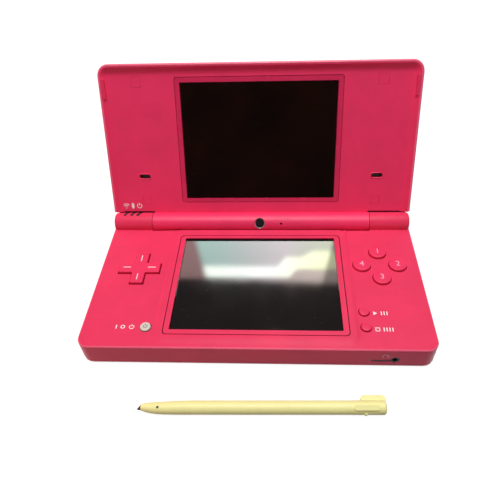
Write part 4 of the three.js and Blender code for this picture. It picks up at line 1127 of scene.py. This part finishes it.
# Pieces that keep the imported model's own mesh and only get a fuller material
hidden_finishes = {
    "lcd_panel": ("lower_lcd_module", "upper_lcd_module"),
    "green_board": ("main_board",),
    "battery_case": ("battery_pack",),
    "grey_rubber": ("dpad_membrane", "face_button_membrane", "start_select_membrane", "dpad_pivot"),
    "dark_plastic": ("card_slot_socket", "stylus_holder", "charging_socket", "headphone_jack",
                     "speaker_left", "speaker_right", "microphone"),
    "steel": ("sd_card_socket", "hinge_clutch", "hinge_sleeve"),
    "flex_amber": ("hinge_flex_cable",),
    "lens_glass": ("inner_camera", "outer_camera"),
}


def carried_over():
    for finish, nodes in hidden_finishes.items():
        for node in nodes:
            holder = frame["nodes"][node]
            for at in range(len(holder.material_slots)):
                holder.material_slots[at].material = finishes[finish]


# The stage
floor_reach = 3
floor_grey = 0.24
floor_shade = 0.98
floor_patch = 0.05
floor_glow = 0.93
world_light = 0.08
white = (1, 1, 1, 1)


def seen_rays(tree):
    """One where a ray comes from the camera, a gloss or a glass, and nought for the others."""
    path = tree.nodes.new("ShaderNodeLightPath")
    total = path.outputs["Is Camera Ray"]
    for name in ("Is Glossy Ray", "Is Transmission Ray"):
        total = maths(tree, "MAXIMUM", total, path.outputs[name])
    return total


def floor_material():
    """White to the camera, grey to the light, and clear from below."""
    made, tree, shader, place = started("plain_floor", specular=0)
    shader.inputs["Roughness"].default_value = 1
    grey = (floor_grey, floor_grey, floor_grey, 1)
    tone = two_tone(tree, noise(tree, place, floor_patch), scaled(grey, floor_shade), grey)
    tree.links.new(tone, shader.inputs["Base Color"])
    shader.inputs["Emission Color"].default_value = white
    tree.links.new(times(tree, seen_rays(tree), floor_glow), shader.inputs["Emission Strength"])
    clear = tree.nodes.new("ShaderNodeBsdfTransparent")
    side = tree.nodes.new("ShaderNodeNewGeometry").outputs["Backfacing"]
    mixed = wired(tree, "ShaderNodeMixShader", {"Fac": side})
    tree.links.new(shader.outputs["BSDF"], mixed.inputs[1])
    tree.links.new(clear.outputs["BSDF"], mixed.inputs[2])
    tree.links.new(mixed.outputs["Shader"], tree.nodes["Material Output"].inputs["Surface"])
    return made


def floor():
    form = bmesh.new()
    form.faces.new([form.verts.new((x * floor_reach, y * floor_reach, -weld_distance))
                    for x, y in ((-1, -1), (1, -1), (1, 1), (-1, 1))])
    mesh = bpy.data.meshes.new("floor")
    form.to_mesh(mesh)
    form.free()
    mesh.materials.append(floor_material())
    made = in_scene("floor", mesh)


def world():
    made = bpy.data.worlds.new("studio")
    bpy.context.scene.world = made
    made.use_nodes = True
    tree = made.node_tree
    background = tree.nodes["Background"]
    background.inputs["Color"].default_value = white
    strength = spread(tree, seen_rays(tree), world_light, 1, 0, 1)
    tree.links.new(strength, background.inputs["Strength"])


# The lamps: two softboxes from above, and two weak warm ones for the coloured surroundings
lamps = (
    {"name": "top_softbox", "place": (-0.02, -0.09, 0.94), "aim": (0, 0, 0.02), "size": (0.4, 0.4),
     "power": 6.3},
    {"name": "hinge_softbox", "place": (0.06, 0.14, 0.5), "aim": (0, 0.02, 0.02),
     "size": (0.25, 0.25), "power": 0.6},
    {"name": "warm_front", "place": (-0.12, -0.12, 0.012), "aim": (-0.05, -0.037, 0.006),
     "size": (0.04, 0.02), "power": 0.012, "colour": (1, 0.3, 0.1), "glossy": False},
    {"name": "warm_side", "place": (-0.34, 0.08, 0.05), "aim": (0, -0.02, 0.02),
     "size": (0.12, 0.08), "power": 0.4, "colour": (1, 0.35, 0.15), "glossy": False},
)


def panel_light(name, width, depth, power):
    data = bpy.data.lights.new(name, "AREA")
    data.shape = "RECTANGLE"
    data.size = width
    data.size_y = depth
    data.energy = power
    made = in_scene(name, data)
    made.visible_camera = False
    return made


def lamp(name, place, aim, size, power, colour=(1, 1, 1), glossy=True):
    made = panel_light(name, *size, power)
    made.data.color = colour
    made.location = place
    made.rotation_mode = "QUATERNION"
    made.rotation_quaternion = (Vector(aim) - Vector(place)).to_track_quat("-Z", "Y")
    made.visible_glossy = glossy


# The bright room that the touch panel mirrors off the upper window, as a lamp in front of the lid.
# The band's step, drop and patch start and end along X. The other starts and ends, and all rises,
# are distances up the lid from the hinge.
mirror_left = -0.060
mirror_right = 0.045
mirror_start = 0.0031
mirror_end = 0.096
mirror_stand = 0.003
mirror_power = 3.7
window_edge = 0.0347
window_soft = 0.0011
edge_soft = 0.0024
edge_lean = 0.045
right_shade = 0.34
band_start = 0.049
band_end = 0.0655
band_soft = 0.004
step_start = 0.007
step_end = 0.0135
step_rise = 0.0145
drop_start = 0.014
drop_end = 0.020
drop_rise = 0.015
patch_start = 0.0195
patch_end = 0.0275
patch_rise = 0.0085
haze_start = 0.063
haze_end = 0.081
haze_slope = 0.10
frame_end = 0.068
sky_tones = ((0, srgb(146, 172, 166)), (0.4, srgb(174, 176, 176)), (0.75, srgb(192, 184, 188)),
             (1, srgb(182, 188, 170)))
low_tones = ((0, srgb(130, 130, 128)), (0.6, srgb(170, 158, 158)), (1, srgb(190, 174, 168)))
glow_tones = ((0, srgb(246, 255, 244)), (0.6, srgb(255, 255, 255)), (1, srgb(246, 250, 208)))
frame_tone = srgb(124, 98, 98)
black = srgb(0, 0, 0)


def up_the_lid(tree, y, z):
    """How far up the lid from the hinge a place lies."""
    rise_y = times(tree, less(tree, y, hinge_point.y), math.cos(lid_turn))
    rise_z = times(tree, less(tree, z, hinge_point.z), math.sin(lid_turn))
    return maths(tree, "ADD", rise_y, rise_z)


def bright_band(tree, x, u):
    """How much the bright band, with its step and patch, shows, and whether u is past its end."""
    step = eased(tree, x, step_start, step_end, 0, step_rise)
    patch = eased(tree, x, patch_start, patch_end, 0, patch_rise)
    top = less(tree, less(tree, band_start, step), patch)
    foot = less(tree, band_end, eased(tree, x, drop_start, drop_end, 0, drop_rise))
    rise = eased(tree, u, less(tree, top, 2 * band_soft), maths(tree, "ADD", top, band_soft))
    fall = eased(tree, u, less(tree, foot, window_soft), maths(tree, "ADD", foot, band_soft / 2))
    return times(tree, rise, less(tree, 1, fall)), fall


def mirror_pattern(tree):
    """The colour that each place in front of the lid sends to the touch panel."""
    point = tree.nodes.new("ShaderNodeNewGeometry").outputs["Position"]
    split = wired(tree, "ShaderNodeSeparateXYZ", {"Vector": point})
    x = split.outputs["X"]
    u = up_the_lid(tree, split.outputs["Y"], split.outputs["Z"])
    band, below = bright_band(tree, x, u)
    across = eased(tree, x, -window_edge, window_edge)
    sky, low, glow = [ramp(tree, across, tones) for tones in (sky_tones, low_tones, glow_tones)]
    inside = blended(tree, band, blended(tree, below, sky, low), glow)

    haze = eased(tree, less(tree, u, times(tree, x, haze_slope)), haze_start, haze_end, 1, 0)
    framed = eased(tree, u, frame_end - band_soft, frame_end + band_soft, 1, 0)
    lean = times(tree, less(tree, band_end, u), edge_lean)
    left = eased(tree, less(tree, x, lean), -window_edge - edge_soft, -window_edge + edge_soft)
    right = eased(tree, x, window_edge - window_soft, window_edge + 2 * window_soft, 1, right_shade)
    inside = blended(tree, times(tree, haze, right), black, inside)
    return blended(tree, left, blended(tree, framed, black, frame_tone), inside)


def mirrored_light():
    made = panel_light("panel_reflection", mirror_right - mirror_left, mirror_end - mirror_start,
                       mirror_power)
    made.data.use_nodes = True
    tree = made.data.node_tree
    tree.links.new(mirror_pattern(tree), tree.nodes["Emission"].inputs["Color"])
    middle = Vector(((mirror_left + mirror_right) / 2, (mirror_start + mirror_end) / 2, mirror_stand))
    facing = Matrix.Rotation(half_turn, 4, "Y")
    made.matrix_world = lid_place @ Matrix.Translation(middle) @ facing
    made.visible_diffuse = False
    receivers = bpy.data.collections.new("panel_reflection_receivers")
    receivers.objects.link(bpy.data.objects["touch_panel_sheet"])
    made.light_linking.receiver_collection = receivers


def camera():
    data = bpy.data.cameras.new("camera")
    data.lens = camera_lens
    data.sensor_width = camera_sensor
    data.shift_x, data.shift_y = camera_shift
    data.clip_start = near_clip
    data.clip_end = far_clip
    made = in_scene("camera", data)
    back = camera_right.cross(camera_up)
    turn = Matrix((camera_right, camera_up, back)).transposed().to_4x4()
    made.matrix_world = Matrix.Translation(camera_place) @ turn
    bpy.context.scene.camera = made


carried_over()
shells()
lid_rim()
lid_slope()
plateau_slope()
hinge_lips()
speaker_rims()
jack_mouth()
face_edge_band()
inner_eye()
signs()
face_keys()
direction_pad()
screens()
stylus()
floor()
world()
for values in lamps:
    lamp(**values)
mirrored_light()
camera()
bpy.context.scene.view_settings.view_transform = "Standard"
